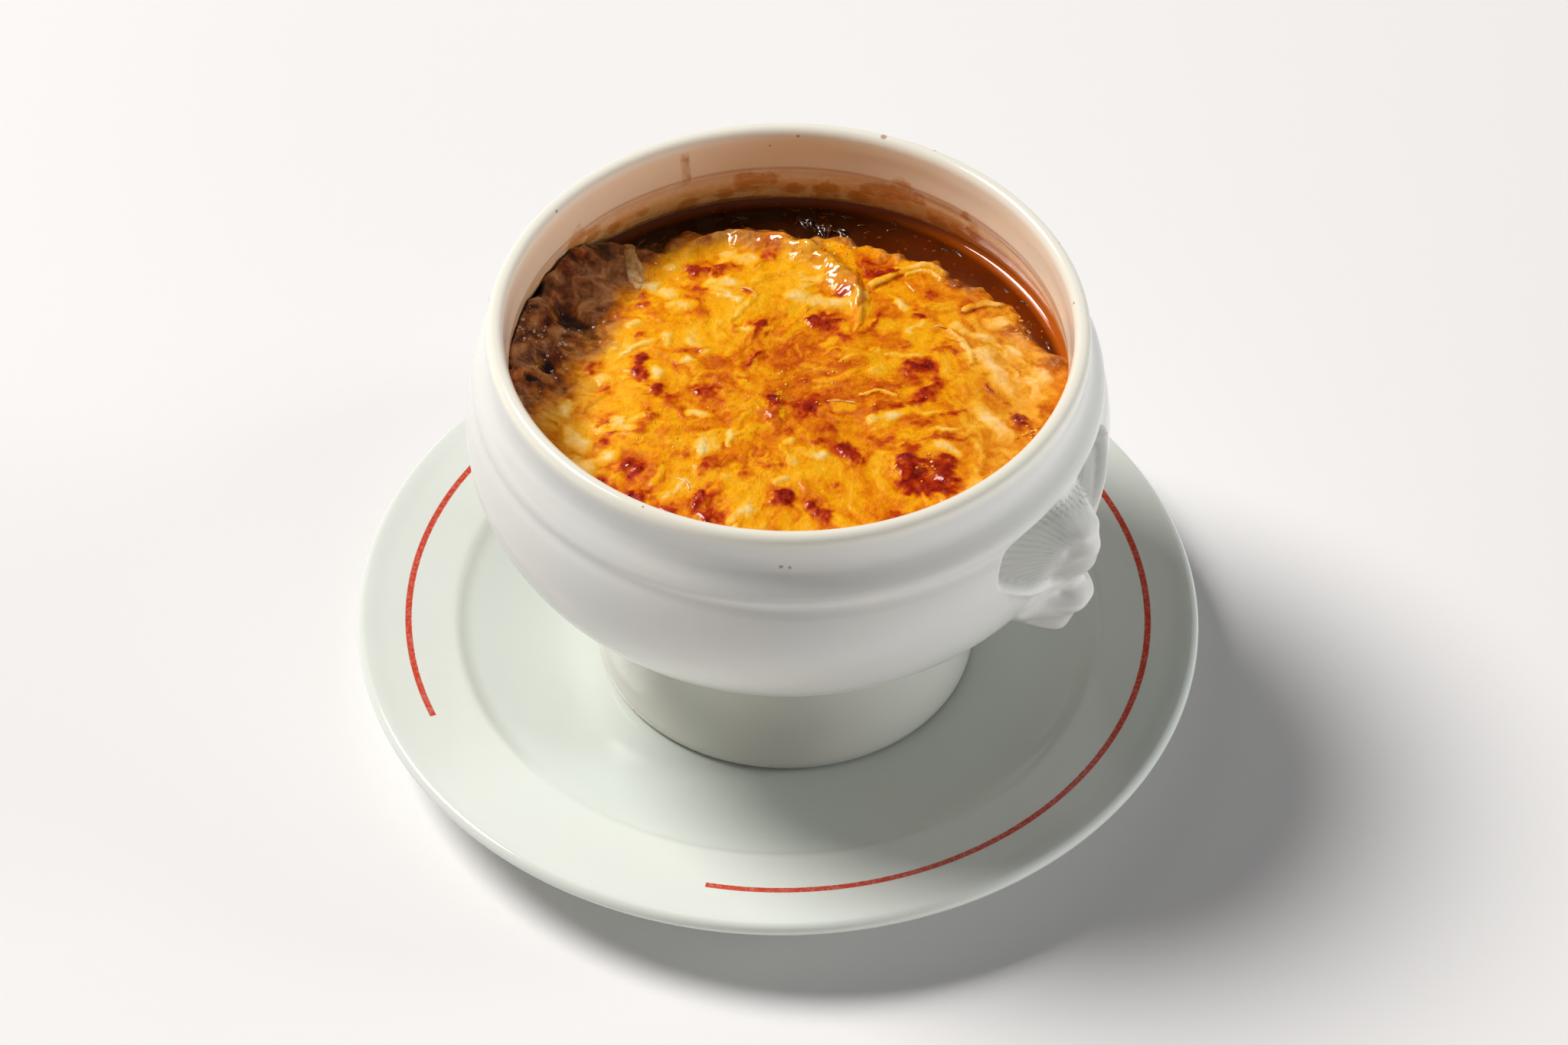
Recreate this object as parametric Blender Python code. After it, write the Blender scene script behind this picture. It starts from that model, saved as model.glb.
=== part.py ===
"""French onion soup in its footed porcelain bowl, standing on its saucer.

Metres, +Z up.  The origin is the centre of the saucer's underside.
Four solids: saucer, bowl (with its foot and two lion-head lugs), broth and
the gratinated cheese cap that floats on it.
"""
import math

import bmesh
import bpy

MM = 0.001
GAP = 0.3 * MM                      # clearance between touching pieces

# Saucer
SAUCER_RADIUS = 90.0 * MM
SAUCER_HEIGHT = 18.0 * MM
SAUCER_LIP = 1.6 * MM               # radius of the rolled edge
RIM_INNER_RADIUS = 66.8 * MM        # where the rim drops into the well
RIM_INNER_Z = 15.8 * MM
WELL_RADIUS = 61.6 * MM
WELL_Z = 8.4 * MM
SAUCER_WALL = 4.0 * MM              # thickness of the rim
SAUCER_HOLLOW_Z = 3.6 * MM          # underside inside the foot ring
SAUCER_FOOT_OUT = 54.8 * MM
SAUCER_FOOT_IN = 51.6 * MM

# Bowl
BOWL_X = 1.5 * MM                   # the bowl stands a little off the centre
BOWL_Y = 1.0 * MM
BOWL_TOP = 101.0 * MM
LIP_RADIUS = 59.8 * MM              # middle of the rolled lip
LIP_HALF_WIDTH = 1.8 * MM
NECK_RADIUS = 60.4 * MM
BEAD_RADIUS = 64.4 * MM
BEAD_Z = 87.5 * MM
BELLY_RADIUS = 66.55 * MM
BELLY_Z = 74.2 * MM                 # height of the widest place
BELLY_HALF_HEIGHT = 46.1 * MM
FOOT_RADIUS = 40.3 * MM
FOOT_NECK_RADIUS = 36.6 * MM
FOOT_NECK_Z = 29.5 * MM             # where the foot's cone meets the belly
FOOT_Z = WELL_Z + GAP
FOOT_HOLLOW_Z = 30.2 * MM           # top of the hollow under the bowl
COLLAR_RADIUS = 57.2 * MM           # inner edge under the lip
COLLAR_Z = 90.4 * MM
CAVITY_RADIUS = 60.6 * MM
CAVITY_Z = 74.5 * MM
FLOOR_Z = 36.0 * MM

# Lion-head lugs, one on each side
LUG_AZIMUTH = math.radians(-29.0)
LUG_HALF_ANGLE = math.radians(24.0)
LUG_COLUMNS = 16
OPEN_COLUMNS = 12

# Contents
LEVEL_Z = 79.5 * MM                 # top of the broth
CAP_DEPTH = 5.0 * MM                # how far the cap sinks into the broth
CAP_WALL_MARGIN = 2.6 * MM
CAP_BACK_RADIUS = 51.0 * MM
EDGE_HEIGHT = 1.0 * MM              # the cap's edge above the broth
DOME_HEIGHT = 2.2 * MM              # and what its middle adds
RIDGE_HEIGHT = 2.4 * MM             # raised fold of cheese at the back
WALL_CLEARANCE = 0.7 * MM           # from the broth to the faceted wall
FOOD_COLUMNS = 38


def start_clean():
    for item in list(bpy.data.objects):
        bpy.data.objects.remove(item, do_unlink=True)


def smoothstep(low, high, value):
    t = min(max((value - low) / (high - low), 0.0), 1.0)
    return t * t * (3.0 - 2.0 * t)


def bump(value, middle, width):
    return math.exp(-((value - middle) / width) ** 2)


def arc(centre_r, centre_z, radius_r, radius_z, start, end, steps):
    """Points (r, z) on an elliptical arc, angles in degrees from +r towards +z."""
    points = []
    for i in range(steps + 1):
        angle = math.radians(start + (end - start) * i / steps)
        points.append((centre_r + radius_r * math.cos(angle), centre_z + radius_z * math.sin(angle)))
    return points


def ease_curve(first, last, steps):
    """Points of an S-shaped step between two (r, z) ends, both ends left out."""
    points = []
    for i in range(1, steps):
        t = i / steps
        points.append((first[0] + (last[0] - first[0]) * t,
                       first[1] + (last[1] - first[1]) * smoothstep(0.0, 1.0, t)))
    return points


def material(name, colour, roughness, metallic=0.0):
    made = bpy.data.materials.new(name)
    made.use_nodes = True
    shader = made.node_tree.nodes["Principled BSDF"]
    shader.inputs["Base Color"].default_value = (*colour, 1.0)
    shader.inputs["Roughness"].default_value = roughness
    shader.inputs["Metallic"].default_value = metallic
    return made


def turned_solid(name, profile, angles, look, centre=(0.0, 0.0), relief=None):
    """One closed body turned round Z.

    profile runs from the axis at the bottom, up the outside and back to the
    axis at the top; relief(angle, r, z) moves a point outwards.
    """
    mesh = bmesh.new()
    bottom = mesh.verts.new((centre[0], centre[1], profile[0][1]))
    top = mesh.verts.new((centre[0], centre[1], profile[-1][1]))
    rings = []
    for r, z in profile[1:-1]:
        ring = []
        for angle in angles:
            reach = r + (relief(angle, r, z) if relief else 0.0)
            ring.append(mesh.verts.new((centre[0] + reach * math.cos(angle),
                                        centre[1] + reach * math.sin(angle), z)))
        rings.append(ring)
    count = len(angles)
    for i in range(count):
        j = (i + 1) % count
        mesh.faces.new((bottom, rings[0][j], rings[0][i]))
        for low, high in zip(rings, rings[1:]):
            mesh.faces.new((low[i], low[j], high[j], high[i]))
        mesh.faces.new((top, rings[-1][i], rings[-1][j]))
    return finish(name, mesh, look)


def finish(name, mesh, look):
    bmesh.ops.recalc_face_normals(mesh, faces=mesh.faces)
    bmesh.ops.triangulate(mesh, faces=mesh.faces)
    data = bpy.data.meshes.new(name)
    mesh.to_mesh(data)
    mesh.free()
    data.materials.append(look)
    data.shade_smooth()
    data.set_sharp_from_angle(angle=math.radians(40.0))
    made = bpy.data.objects.new(name, data)
    bpy.context.scene.collection.objects.link(made)
    return made


def even_angles(count):
    return [2.0 * math.pi * i / count for i in range(count)]


# ---------------------------------------------------------------- saucer

def saucer_profile():
    lip_z = SAUCER_HEIGHT - SAUCER_LIP
    lip_r = SAUCER_RADIUS - SAUCER_LIP
    points = [(0.0, SAUCER_HOLLOW_Z), (SAUCER_FOOT_IN - 2.0 * MM, SAUCER_HOLLOW_Z)]
    points += [(SAUCER_FOOT_IN, 0.8 * MM), (SAUCER_FOOT_IN + 0.4 * MM, 0.0)]
    points += [(SAUCER_FOOT_OUT - 0.4 * MM, 0.0), (SAUCER_FOOT_OUT, 0.8 * MM)]
    points += [(SAUCER_FOOT_OUT + 0.8 * MM, 4.2 * MM), (WELL_RADIUS + 1.0 * MM, 6.4 * MM)]
    points += [(RIM_INNER_RADIUS + 2.0 * MM, RIM_INNER_Z - SAUCER_WALL)]
    points += [(SAUCER_RADIUS - 6.0 * MM, lip_z - SAUCER_WALL * 0.7)]
    points += arc(lip_r, lip_z, SAUCER_LIP, SAUCER_LIP, -60.0, 95.0, 5)
    points += [(lip_r - 3.0 * MM, SAUCER_HEIGHT - 0.35 * MM)]
    points += [(79.0 * MM, 17.0 * MM), (70.5 * MM, RIM_INNER_Z + 0.4 * MM)]
    points += [(RIM_INNER_RADIUS, RIM_INNER_Z - 0.4 * MM)]
    points += ease_curve((RIM_INNER_RADIUS, RIM_INNER_Z), (WELL_RADIUS, WELL_Z + 0.2 * MM), 3)
    points += [(WELL_RADIUS, WELL_Z + 0.2 * MM), (WELL_RADIUS - 2.0 * MM, WELL_Z), (0.0, WELL_Z)]
    return points


# ------------------------------------------------------------------ bowl

def belly_radius(z):
    """Outer radius of the belly's ellipse at height z."""
    return BELLY_RADIUS * math.sqrt(max(0.0, 1.0 - ((z - BELLY_Z) / BELLY_HALF_HEIGHT) ** 2))


def cavity_radius(z):
    """Inner radius of the bowl at height z, below the collar."""
    if z >= CAVITY_Z:
        t = smoothstep(CAVITY_Z, COLLAR_Z, z)
        return CAVITY_RADIUS + (COLLAR_RADIUS - CAVITY_RADIUS) * t
    return CAVITY_RADIUS * math.sqrt(max(0.0, 1.0 - ((z - CAVITY_Z) / (FLOOR_Z - CAVITY_Z)) ** 2))


def foot_hollow_profile():
    """From the axis under the bowl, down inside the foot to its standing ring."""
    points = [(0.0, FOOT_HOLLOW_Z), (22.0 * MM, FOOT_HOLLOW_Z - 1.2 * MM)]
    points += [(31.2 * MM, FOOT_HOLLOW_Z - 5.2 * MM), (33.6 * MM, 19.0 * MM)]
    points += [(FOOT_RADIUS - 4.7 * MM, FOOT_Z + 1.0 * MM), (FOOT_RADIUS - 4.1 * MM, FOOT_Z)]
    return points


def foot_cone_profile():
    """The outside of the foot: a rounded base, then a cone up to the belly."""
    points = [(FOOT_RADIUS - 1.2 * MM, FOOT_Z), (FOOT_RADIUS - 0.1 * MM, FOOT_Z + 0.8 * MM)]
    points += [(FOOT_RADIUS, FOOT_Z + 2.0 * MM), (FOOT_RADIUS - 0.6 * MM, FOOT_Z + 3.2 * MM)]
    points += [(FOOT_RADIUS - 2.0 * MM, 18.0 * MM), (FOOT_NECK_RADIUS + 0.4 * MM, FOOT_NECK_Z - 5.0 * MM)]
    points += [(FOOT_NECK_RADIUS, FOOT_NECK_Z), (FOOT_NECK_RADIUS + 0.7 * MM, FOOT_NECK_Z + 3.5 * MM)]
    points += [(FOOT_NECK_RADIUS + 3.3 * MM, FOOT_NECK_Z + 6.9 * MM)]
    return points


def belly_profile():
    """The belly's ellipse, with rows closest together where the lions' chins are."""
    heights = [39.5, 42.0, 43.8, 45.4, 47.4, 50.0, 53.0, 56.0, 59.0, 62.0, 65.0, 68.0, 71.0, 74.2, 78.0, 82.0]
    waist_depth = 0.3 * MM
    return [(belly_radius(z * MM) - waist_depth * bump(z, 39.0, 2.0), z * MM) for z in heights]


def shoulder_profile():
    """The groove, the bead, the neck and the rolled lip."""
    bead_half = 2.4 * MM
    lip_half_height = 2.2 * MM
    points = [(BEAD_RADIUS - 0.7 * MM, BEAD_Z - 3.3 * MM)]
    points += arc(BEAD_RADIUS - bead_half, BEAD_Z, bead_half, bead_half, -35.0, 80.0, 3)
    points += [(NECK_RADIUS + 0.3 * MM, BEAD_Z + 3.6 * MM), (NECK_RADIUS, BEAD_Z + 6.1 * MM)]
    points += [(NECK_RADIUS + 0.4 * MM, BEAD_Z + 8.7 * MM)]
    points += arc(LIP_RADIUS, BOWL_TOP - lip_half_height, LIP_HALF_WIDTH, lip_half_height, -10.0, 180.0, 6)
    return points


def cavity_profile():
    """Down the collar's slope, over its edge and along the inner wall to the floor."""
    points = [(COLLAR_RADIUS + 0.5 * MM, 95.0 * MM), (COLLAR_RADIUS, COLLAR_Z + 0.4 * MM)]
    for z in (87.6, 82.0, 74.5, 66.0, 57.0, 49.0, 42.5, 38.2):
        points.append((cavity_radius(z * MM), z * MM))
    points.append((0.0, FLOOR_Z))
    return points


def lug_height(across, z):
    """How far a lion's head stands out of the belly.

    across is the sideways distance from the middle of the face, z the height,
    both in millimetres, and so is the result.  From the top down: the mane's
    slope, the brow, the muzzle and the chin, cut off flat below.  Beside the
    face the cheeks are hollowed into the belly.
    """
    side = abs(across)
    face = 4.6 * smoothstep(86.0, 75.0, z) + 1.4 * bump(z, 67.0, 3.2)
    face += 5.2 * smoothstep(60.5, 54.0, z) + 3.6 * smoothstep(53.0, 45.0, z)
    face += 1.3 * bump(z, 57.0, 3.0)
    face *= smoothstep(44.2, 47.6, z)
    width = 6.6 + 1.6 * bump(z, 52.0, 6.0)
    face *= 1.0 / (1.0 + (side / width) ** 3)
    hollow = 1.5 * bump(side, 17.0, 5.5) * smoothstep(54.0, 62.0, z) * smoothstep(86.5, 81.0, z)
    return (face - hollow) * smoothstep(27.0, 22.0, side)


def lug_relief(angle, r, z):
    """Relief of both lugs, on the belly's outside alone."""
    on_foot = r < 38.5 * MM
    above_groove = z > 88.2 * MM
    on_inner_wall = r < cavity_radius(z) + 1.5 * MM
    if on_foot or above_groove or on_inner_wall:
        return 0.0
    for centre in (LUG_AZIMUTH, LUG_AZIMUTH + math.pi):
        turn = math.atan2(math.sin(angle - centre), math.cos(angle - centre))
        if abs(turn) < LUG_HALF_ANGLE:
            return lug_height(turn * BELLY_RADIUS / MM, z / MM) * MM
    return 0.0


def bowl_angles():
    """Columns close together on the lugs and wider between them."""
    angles = []
    for centre in (LUG_AZIMUTH, LUG_AZIMUTH + math.pi):
        for i in range(LUG_COLUMNS):
            angles.append(centre - LUG_HALF_ANGLE + 2.0 * LUG_HALF_ANGLE * i / LUG_COLUMNS)
        opening = math.pi - 2.0 * LUG_HALF_ANGLE
        for i in range(OPEN_COLUMNS):
            angles.append(centre + LUG_HALF_ANGLE + opening * i / OPEN_COLUMNS)
    return angles


def bowl_profile():
    outside = foot_hollow_profile() + foot_cone_profile() + belly_profile() + shoulder_profile()
    return outside + cavity_profile()


# -------------------------------------------------------------- contents

def cap_radius(angle):
    """Outline of the cheese cap: at the wall all round, short of it at the back."""
    wall = cavity_radius(LEVEL_Z) - CAP_WALL_MARGIN
    degrees = math.degrees(angle) % 360.0
    back = smoothstep(4.0, 36.0, degrees) * smoothstep(152.0, 122.0, degrees)
    wave = 0.7 * MM * math.sin(7.0 * angle) + 0.5 * MM * math.sin(11.0 * angle + 1.0)
    return wall + (CAP_BACK_RADIUS - wall + wave) * back


def cap_top(x, y):
    """Height of the cheese above the broth, x and y from the bowl's axis."""
    dome = EDGE_HEIGHT + DOME_HEIGHT * smoothstep(56.0 * MM, 26.0 * MM, math.hypot(x, y))
    ridge_y = 48.0 * MM - 15.0 * MM * smoothstep(-4.0 * MM, 20.0 * MM, x)
    along = smoothstep(-30.0 * MM, -20.0 * MM, x) * smoothstep(24.0 * MM, 16.0 * MM, x)
    ridge = RIDGE_HEIGHT * bump(y, ridge_y, 5.0 * MM) * along
    wave = 0.5 * MM * math.sin(x / (6.5 * MM)) * math.sin(y / (5.5 * MM) + 0.7)
    return dome + ridge + wave


def food_solid(name, rings, low, high, look):
    """A closed stack of rings between a lowest and a highest middle point."""
    mesh = bmesh.new()
    bottom = mesh.verts.new((BOWL_X, BOWL_Y, low))
    top = mesh.verts.new((BOWL_X, BOWL_Y, high))
    rows = []
    for ring in rings:
        rows.append([mesh.verts.new((BOWL_X + x, BOWL_Y + y, z)) for x, y, z in ring])
    for i in range(FOOD_COLUMNS):
        j = (i + 1) % FOOD_COLUMNS
        mesh.faces.new((bottom, rows[0][j], rows[0][i]))
        for lower, upper in zip(rows, rows[1:]):
            mesh.faces.new((lower[i], lower[j], upper[j], upper[i]))
        mesh.faces.new((top, rows[-1][i], rows[-1][j]))
    return finish(name, mesh, look)


def ring_of(radius_at, height_at):
    """Points of one ring, from a radius and a height that may change round it."""
    ring = []
    for angle in even_angles(FOOD_COLUMNS):
        r = radius_at(angle)
        x = r * math.cos(angle)
        y = r * math.sin(angle)
        ring.append((x, y, height_at(x, y)))
    return ring


def make_cheese(look):
    floor = LEVEL_Z - CAP_DEPTH
    rings = [ring_of(lambda a: 0.55 * cap_radius(a), lambda x, y: floor)]
    rings.append(ring_of(lambda a: cap_radius(a) - 1.0 * MM, lambda x, y: floor))
    rings.append(ring_of(cap_radius, lambda x, y: floor + 1.0 * MM))
    rings.append(ring_of(cap_radius, lambda x, y: LEVEL_Z))
    for share in (0.975, 0.90, 0.80, 0.65, 0.48, 0.30, 0.14):
        rings.append(ring_of(lambda a: share * cap_radius(a), lambda x, y: LEVEL_Z + cap_top(x, y)))
    return food_solid("cheese", rings, floor, LEVEL_Z + cap_top(0.0, 0.0), look)


def make_broth(look):
    """The liquid: it fills the cavity and leaves a bed for the cap."""
    bed = LEVEL_Z - CAP_DEPTH - GAP
    rings = []
    for z in (38.6, 42.5, 50.0, 60.0, 68.0, 74.5):
        wall = cavity_radius(z * MM) - WALL_CLEARANCE
        rings.append(ring_of(lambda a: wall, lambda x, y: z * MM))
    shore = cavity_radius(LEVEL_Z) - WALL_CLEARANCE
    rings.append(ring_of(lambda a: shore, lambda x, y: LEVEL_Z))
    rings.append(ring_of(lambda a: cap_radius(a) + 2.0 * GAP, lambda x, y: LEVEL_Z))
    rings.append(ring_of(lambda a: cap_radius(a) + GAP, lambda x, y: bed))
    return food_solid("broth", rings, FLOOR_Z + 0.9 * MM, bed, look)


def main():
    start_clean()
    saucer_glaze = material("saucer_glaze", (0.78, 0.80, 0.76), 0.12)
    bowl_glaze = material("bowl_glaze", (0.85, 0.84, 0.82), 0.10)
    broth_look = material("broth_brown", (0.12, 0.035, 0.008), 0.08)
    cheese_look = material("cheese_gold", (0.80, 0.42, 0.06), 0.35)
    turned_solid("saucer", saucer_profile(), even_angles(48), saucer_glaze)
    turned_solid("bowl", bowl_profile(), bowl_angles(), bowl_glaze, (BOWL_X, BOWL_Y), lug_relief)
    make_broth(broth_look)
    make_cheese(cheese_look)


main()
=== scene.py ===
"""French onion soup: the looks of its bowl, saucer, broth and browned cheese.

Laid out as an add-on and run as a script.  The CAD parts are loaded as a
fixed frame, and every piece here is made round that frame, in metres.
Sizes in the code are millimetres until a mesh is written.
"""
import math

import bpy
import numpy as np
from bpy.props import FloatProperty, FloatVectorProperty, IntProperty, PointerProperty
from mathutils import Matrix, Vector


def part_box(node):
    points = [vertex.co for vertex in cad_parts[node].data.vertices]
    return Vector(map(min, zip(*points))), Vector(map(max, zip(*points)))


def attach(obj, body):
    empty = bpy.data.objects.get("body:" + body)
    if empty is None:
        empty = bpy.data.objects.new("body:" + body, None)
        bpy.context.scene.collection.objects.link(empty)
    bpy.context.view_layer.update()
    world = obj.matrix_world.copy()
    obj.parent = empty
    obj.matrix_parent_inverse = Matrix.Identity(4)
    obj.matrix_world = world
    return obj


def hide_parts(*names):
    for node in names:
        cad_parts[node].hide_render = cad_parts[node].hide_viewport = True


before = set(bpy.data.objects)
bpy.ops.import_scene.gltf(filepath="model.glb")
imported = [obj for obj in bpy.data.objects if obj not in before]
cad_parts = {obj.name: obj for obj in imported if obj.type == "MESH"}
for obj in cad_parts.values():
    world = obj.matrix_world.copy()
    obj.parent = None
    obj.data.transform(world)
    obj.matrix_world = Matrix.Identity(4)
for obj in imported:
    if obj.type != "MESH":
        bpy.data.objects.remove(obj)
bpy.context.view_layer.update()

bl_info = {
    "name": "French Onion Soup",
    "version": (1, 0, 0),
    "blender": (4, 5, 0),
    "location": "View3D > Sidebar > Soup",
    "description": "Builds a bowl of gratinated onion soup on its saucer",
    "category": "Object",
}

MM = 0.001
BOWL_LOW, BOWL_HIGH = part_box("bowl")
AXIS_X = (BOWL_LOW.x + BOWL_HIGH.x) / 2.0 / MM      # the bowl's own axis
AXIS_Y = (BOWL_LOW.y + BOWL_HIGH.y) / 2.0 / MM
SAUCER_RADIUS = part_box("saucer")[1].x / MM
RIM_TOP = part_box("saucer")[1].z / MM
BOWL_TOP = BOWL_HIGH.z / MM
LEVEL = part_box("broth")[1].z / MM                   # top of the broth

# The bowl's lines, as in the CAD part
LIP_RADIUS = 59.8
LIP_HALF_WIDTH = 1.8
LIP_HALF_HEIGHT = 2.2
BELLY_RADIUS = 66.55
BELLY_Z = 74.2
BELLY_HALF_HEIGHT = 46.1
COLLAR_RADIUS = 57.2
COLLAR_Z = 90.4
CAVITY_RADIUS = 60.6
CAVITY_Z = 74.5
FLOOR_Z = 36.0
LUG_AZIMUTH = math.radians(-29.0)
LUG_HALF_ANGLE = math.radians(24.0)
SAUCER_LIP = 1.6            # radius of the saucer's rounded edge

# How finely the pieces are divided
SAUCER_COLUMNS = 224
BOWL_COLUMNS = 200
CAP_CELLS = 282
MERGE_DISTANCE = 2e-6       # in metres


def tone(red, green, blue):
    """A linear colour from the usual 0 to 255 values."""
    return tuple(((v / 255.0 + 0.055) / 1.055) ** 2.4 if v > 10 else v / 255.0 / 12.92
                 for v in (red, green, blue))


def colour_property(label, note, default):
    return FloatVectorProperty(name=label, description=note, subtype="COLOR", size=3,
                               min=0.0, max=1.0, default=default)


def length_property(label, note, default_mm):
    return FloatProperty(name=label, description=note, unit="LENGTH", subtype="DISTANCE",
                         min=0.0, precision=5, default=default_mm * MM)


class SaucerSettings(bpy.types.PropertyGroup):
    glaze: colour_property("Glaze", "Colour of the saucer's glaze", tone(229, 232, 224))
    ring_colour: colour_property("Ring colour", "Colour of the painted ring", tone(206, 66, 40))
    ring_radius: length_property("Ring radius", "Middle of the painted ring", 79.1)
    ring_width: length_property("Ring width", "Width of the painted ring", 1.35)
    gap_middle: FloatProperty(name="Gap", description="Direction of the break in the ring",
                              subtype="ANGLE", default=math.radians(-128.0))
    gap_half: FloatProperty(name="Gap half", description="Half the angle of the break",
                            subtype="ANGLE", default=math.radians(27.7))


class BowlSettings(bpy.types.PropertyGroup):
    glaze: colour_property("Glaze", "Colour of the bowl's glaze", tone(227, 225, 220))
    lip_glaze: colour_property("Lip", "Warmer glaze on the lip", tone(245, 240, 225))
    stain: colour_property("Stain", "Dried broth on the inner wall", tone(204, 126, 24))
    flute_depth: length_property("Mane depth", "Depth of the grooves in the manes", 0.26)


class BrothSettings(bpy.types.PropertyGroup):
    dark: colour_property("Dark", "Deep broth at the back left", tone(30, 10, 2))
    red: colour_property("Red", "Thinner broth at the right", tone(104, 38, 3))
    meniscus: length_property("Meniscus", "Rise of the broth at the wall", 1.0)


class CheeseSettings(bpy.types.PropertyGroup):
    gold: colour_property("Gold", "Melted cheese", tone(248, 168, 4))
    orange: colour_property("Orange", "Lightly browned cheese", tone(232, 128, 0))
    amber: colour_property("Amber", "Well browned cheese", tone(200, 84, 0))
    char: colour_property("Blisters", "Dark blisters", tone(128, 14, 0))
    cream: colour_property("Cream", "Shreds that stayed pale", tone(254, 220, 150))
    soaked: colour_property("Soaked", "Cheese soaked with broth", tone(160, 86, 28))
    shreds: IntProperty(name="Shreds", description="How many shreds of cheese lie on top",
                        default=300, min=10, max=3000)
    seed: IntProperty(name="Seed", description="Another seed lays the shreds another way",
                      default=11)


class StageSettings(bpy.types.PropertyGroup):
    floor: colour_property("Floor", "Colour of the floor", tone(242, 240, 240))
    key_power: FloatProperty(name="Key", description="Power of the soft window light",
                             unit="POWER", default=144.0)
    fill: FloatProperty(name="Fill", description="Strength of the light all round",
                        default=0.09)


# ------------------------------------------------------------ numbers

def smooth(low, high, value):
    """0 at low and 1 at high, with a soft start and end."""
    t = np.clip((value - low) / (high - low), 0.0, 1.0)
    return t * t * (3.0 - 2.0 * t)


def blend(first, second, share):
    """The first where share is 0, passing to the second where it is 1."""
    return first * (1.0 - share) + share * second


def dome(share):
    """Height of a round dome: 1 in the middle and 0 at a share of 1."""
    return np.sqrt(np.maximum(0.0, 1.0 - share ** 2))


def bump(value, middle, width):
    """1 in the middle, falling away to both sides over about width."""
    return np.exp(-((value - middle) / width) ** 2)


def noise(x, y, size, seed):
    """Smooth noise from -1 to 1 whose patches are about size mm wide."""
    cells = np.random.default_rng(seed).uniform(-1.0, 1.0, (64, 64))
    u, v = x / size + 31.7, y / size + 17.3
    i, j = np.floor(u).astype(int), np.floor(v).astype(int)
    s, t = u - i, v - j
    s, t = s * s * s * (s * (s * 6 - 15) + 10), t * t * t * (t * (t * 6 - 15) + 10)
    a, b = cells[i % 64, j % 64], cells[(i + 1) % 64, j % 64]
    c, d = cells[i % 64, (j + 1) % 64], cells[(i + 1) % 64, (j + 1) % 64]
    return (a * (1 - s) + b * s) * (1 - t) + (c * (1 - s) + d * s) * t


def shaken(x, y, seed, *layers):
    """The places moved about by layers of noise, given as (distance, size)."""
    moved_x, moved_y = x, y
    for n, (distance, size) in enumerate(layers):
        moved_x = moved_x + distance * noise(x, y, size, seed + 2 * n)
        moved_y = moved_y + distance * noise(x, y, size, seed + 2 * n + 1)
    return moved_x, moved_y


def layered(x, y, size, seed, layers=4, keep=0.5):
    """Several layers of noise, each half as wide as the last."""
    total, weight, most = 0.0, 1.0, 0.0
    for n in range(layers):
        total = total + weight * noise(x, y, size / 2.0 ** n, seed + n)
        most += weight
        weight *= keep
    return total / most


def smooth_line(points, step):
    """A smooth line through the points, in pieces of about step."""
    p = np.array(points, float)
    t = np.concatenate([[0.0], np.cumsum(np.linalg.norm(np.diff(p, axis=0), axis=1))])
    gap = np.diff(t)[:, None]
    slope = np.diff(p, axis=0) / gap
    inner = (slope[:-1] * gap[1:] + slope[1:] * gap[:-1]) / (t[2:] - t[:-2])[:, None]
    tangent = np.vstack([slope[:1], inner, slope[-1:]])
    line = [p[0]]
    for i in range(len(p) - 1):
        span = t[i + 1] - t[i]
        pieces = max(1, round(span / step))
        for k in range(1, pieces + 1):
            s = k / pieces
            line.append(p[i] * (2 * s ** 3 - 3 * s ** 2 + 1) + p[i + 1] * (3 * s ** 2 - 2 * s ** 3)
                        + span * (tangent[i] * (s ** 3 - 2 * s ** 2 + s)
                                  + tangent[i + 1] * (s ** 3 - s ** 2)))
    return [tuple(q) for q in line]


def chain(*lines):
    """Joins lines end to end, each shared end kept once."""
    joined = list(lines[0])
    for line in lines[1:]:
        joined += line[1:]
    return joined


def arc(centre_r, centre_z, radius_r, radius_z, start, end, steps):
    """Part of an ellipse, from one angle to another in degrees."""
    return [(centre_r + radius_r * math.cos(a), centre_z + radius_z * math.sin(a))
            for a in np.radians(np.linspace(start, end, steps + 1))]


# ------------------------------------------------------------- meshes

def clear_selection():
    if bpy.context.object and bpy.context.object.mode != "OBJECT":
        bpy.ops.object.mode_set(mode="OBJECT")
    bpy.ops.object.select_all(action="DESELECT")


def only(piece):
    """Goes to object mode, with this piece selected and nothing else."""
    clear_selection()
    piece.select_set(True)
    bpy.context.view_layer.objects.active = piece


def named(name):
    """Names the object that an operator has just made."""
    made = bpy.context.object
    made.name = made.data.name = name
    return made


def values_of(parts, name, columns=1, kind=np.float32):
    """One row of numbers for each point, edge or face."""
    flat = np.empty(len(parts) * columns, kind)
    parts.foreach_get(name, flat)
    return flat.reshape(-1, columns)


def points_of(piece):
    return values_of(piece.data.vertices, "co", 3).astype(float) / MM


def place_points(piece, points):
    piece.data.vertices.foreach_set("co", (points * MM).astype(np.float32).ravel())
    piece.data.update()


def paint(piece, name, values):
    """Keeps one number for each point, for a material to read."""
    made = piece.data.attributes.new(name, "FLOAT", "POINT")
    made.data.foreach_set("value", np.asarray(values, np.float32))


def select_parts(piece, kind, chosen):
    """Selects only these edges or faces, in edit mode."""
    only(piece)
    mesh = piece.data
    for parts in (mesh.vertices, mesh.edges, mesh.polygons):
        parts.foreach_set("select", np.zeros(len(parts), bool))
    {"EDGE": mesh.edges, "FACE": mesh.polygons}[kind].foreach_set("select", chosen)
    bpy.ops.object.mode_set(mode="EDIT")
    bpy.ops.mesh.select_mode(type=kind)


def edit(piece):
    """Goes to edit mode, with the whole piece selected."""
    only(piece)
    bpy.ops.object.mode_set(mode="EDIT")
    bpy.ops.mesh.select_mode(type="VERT")
    bpy.ops.mesh.select_all(action="SELECT")


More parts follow.
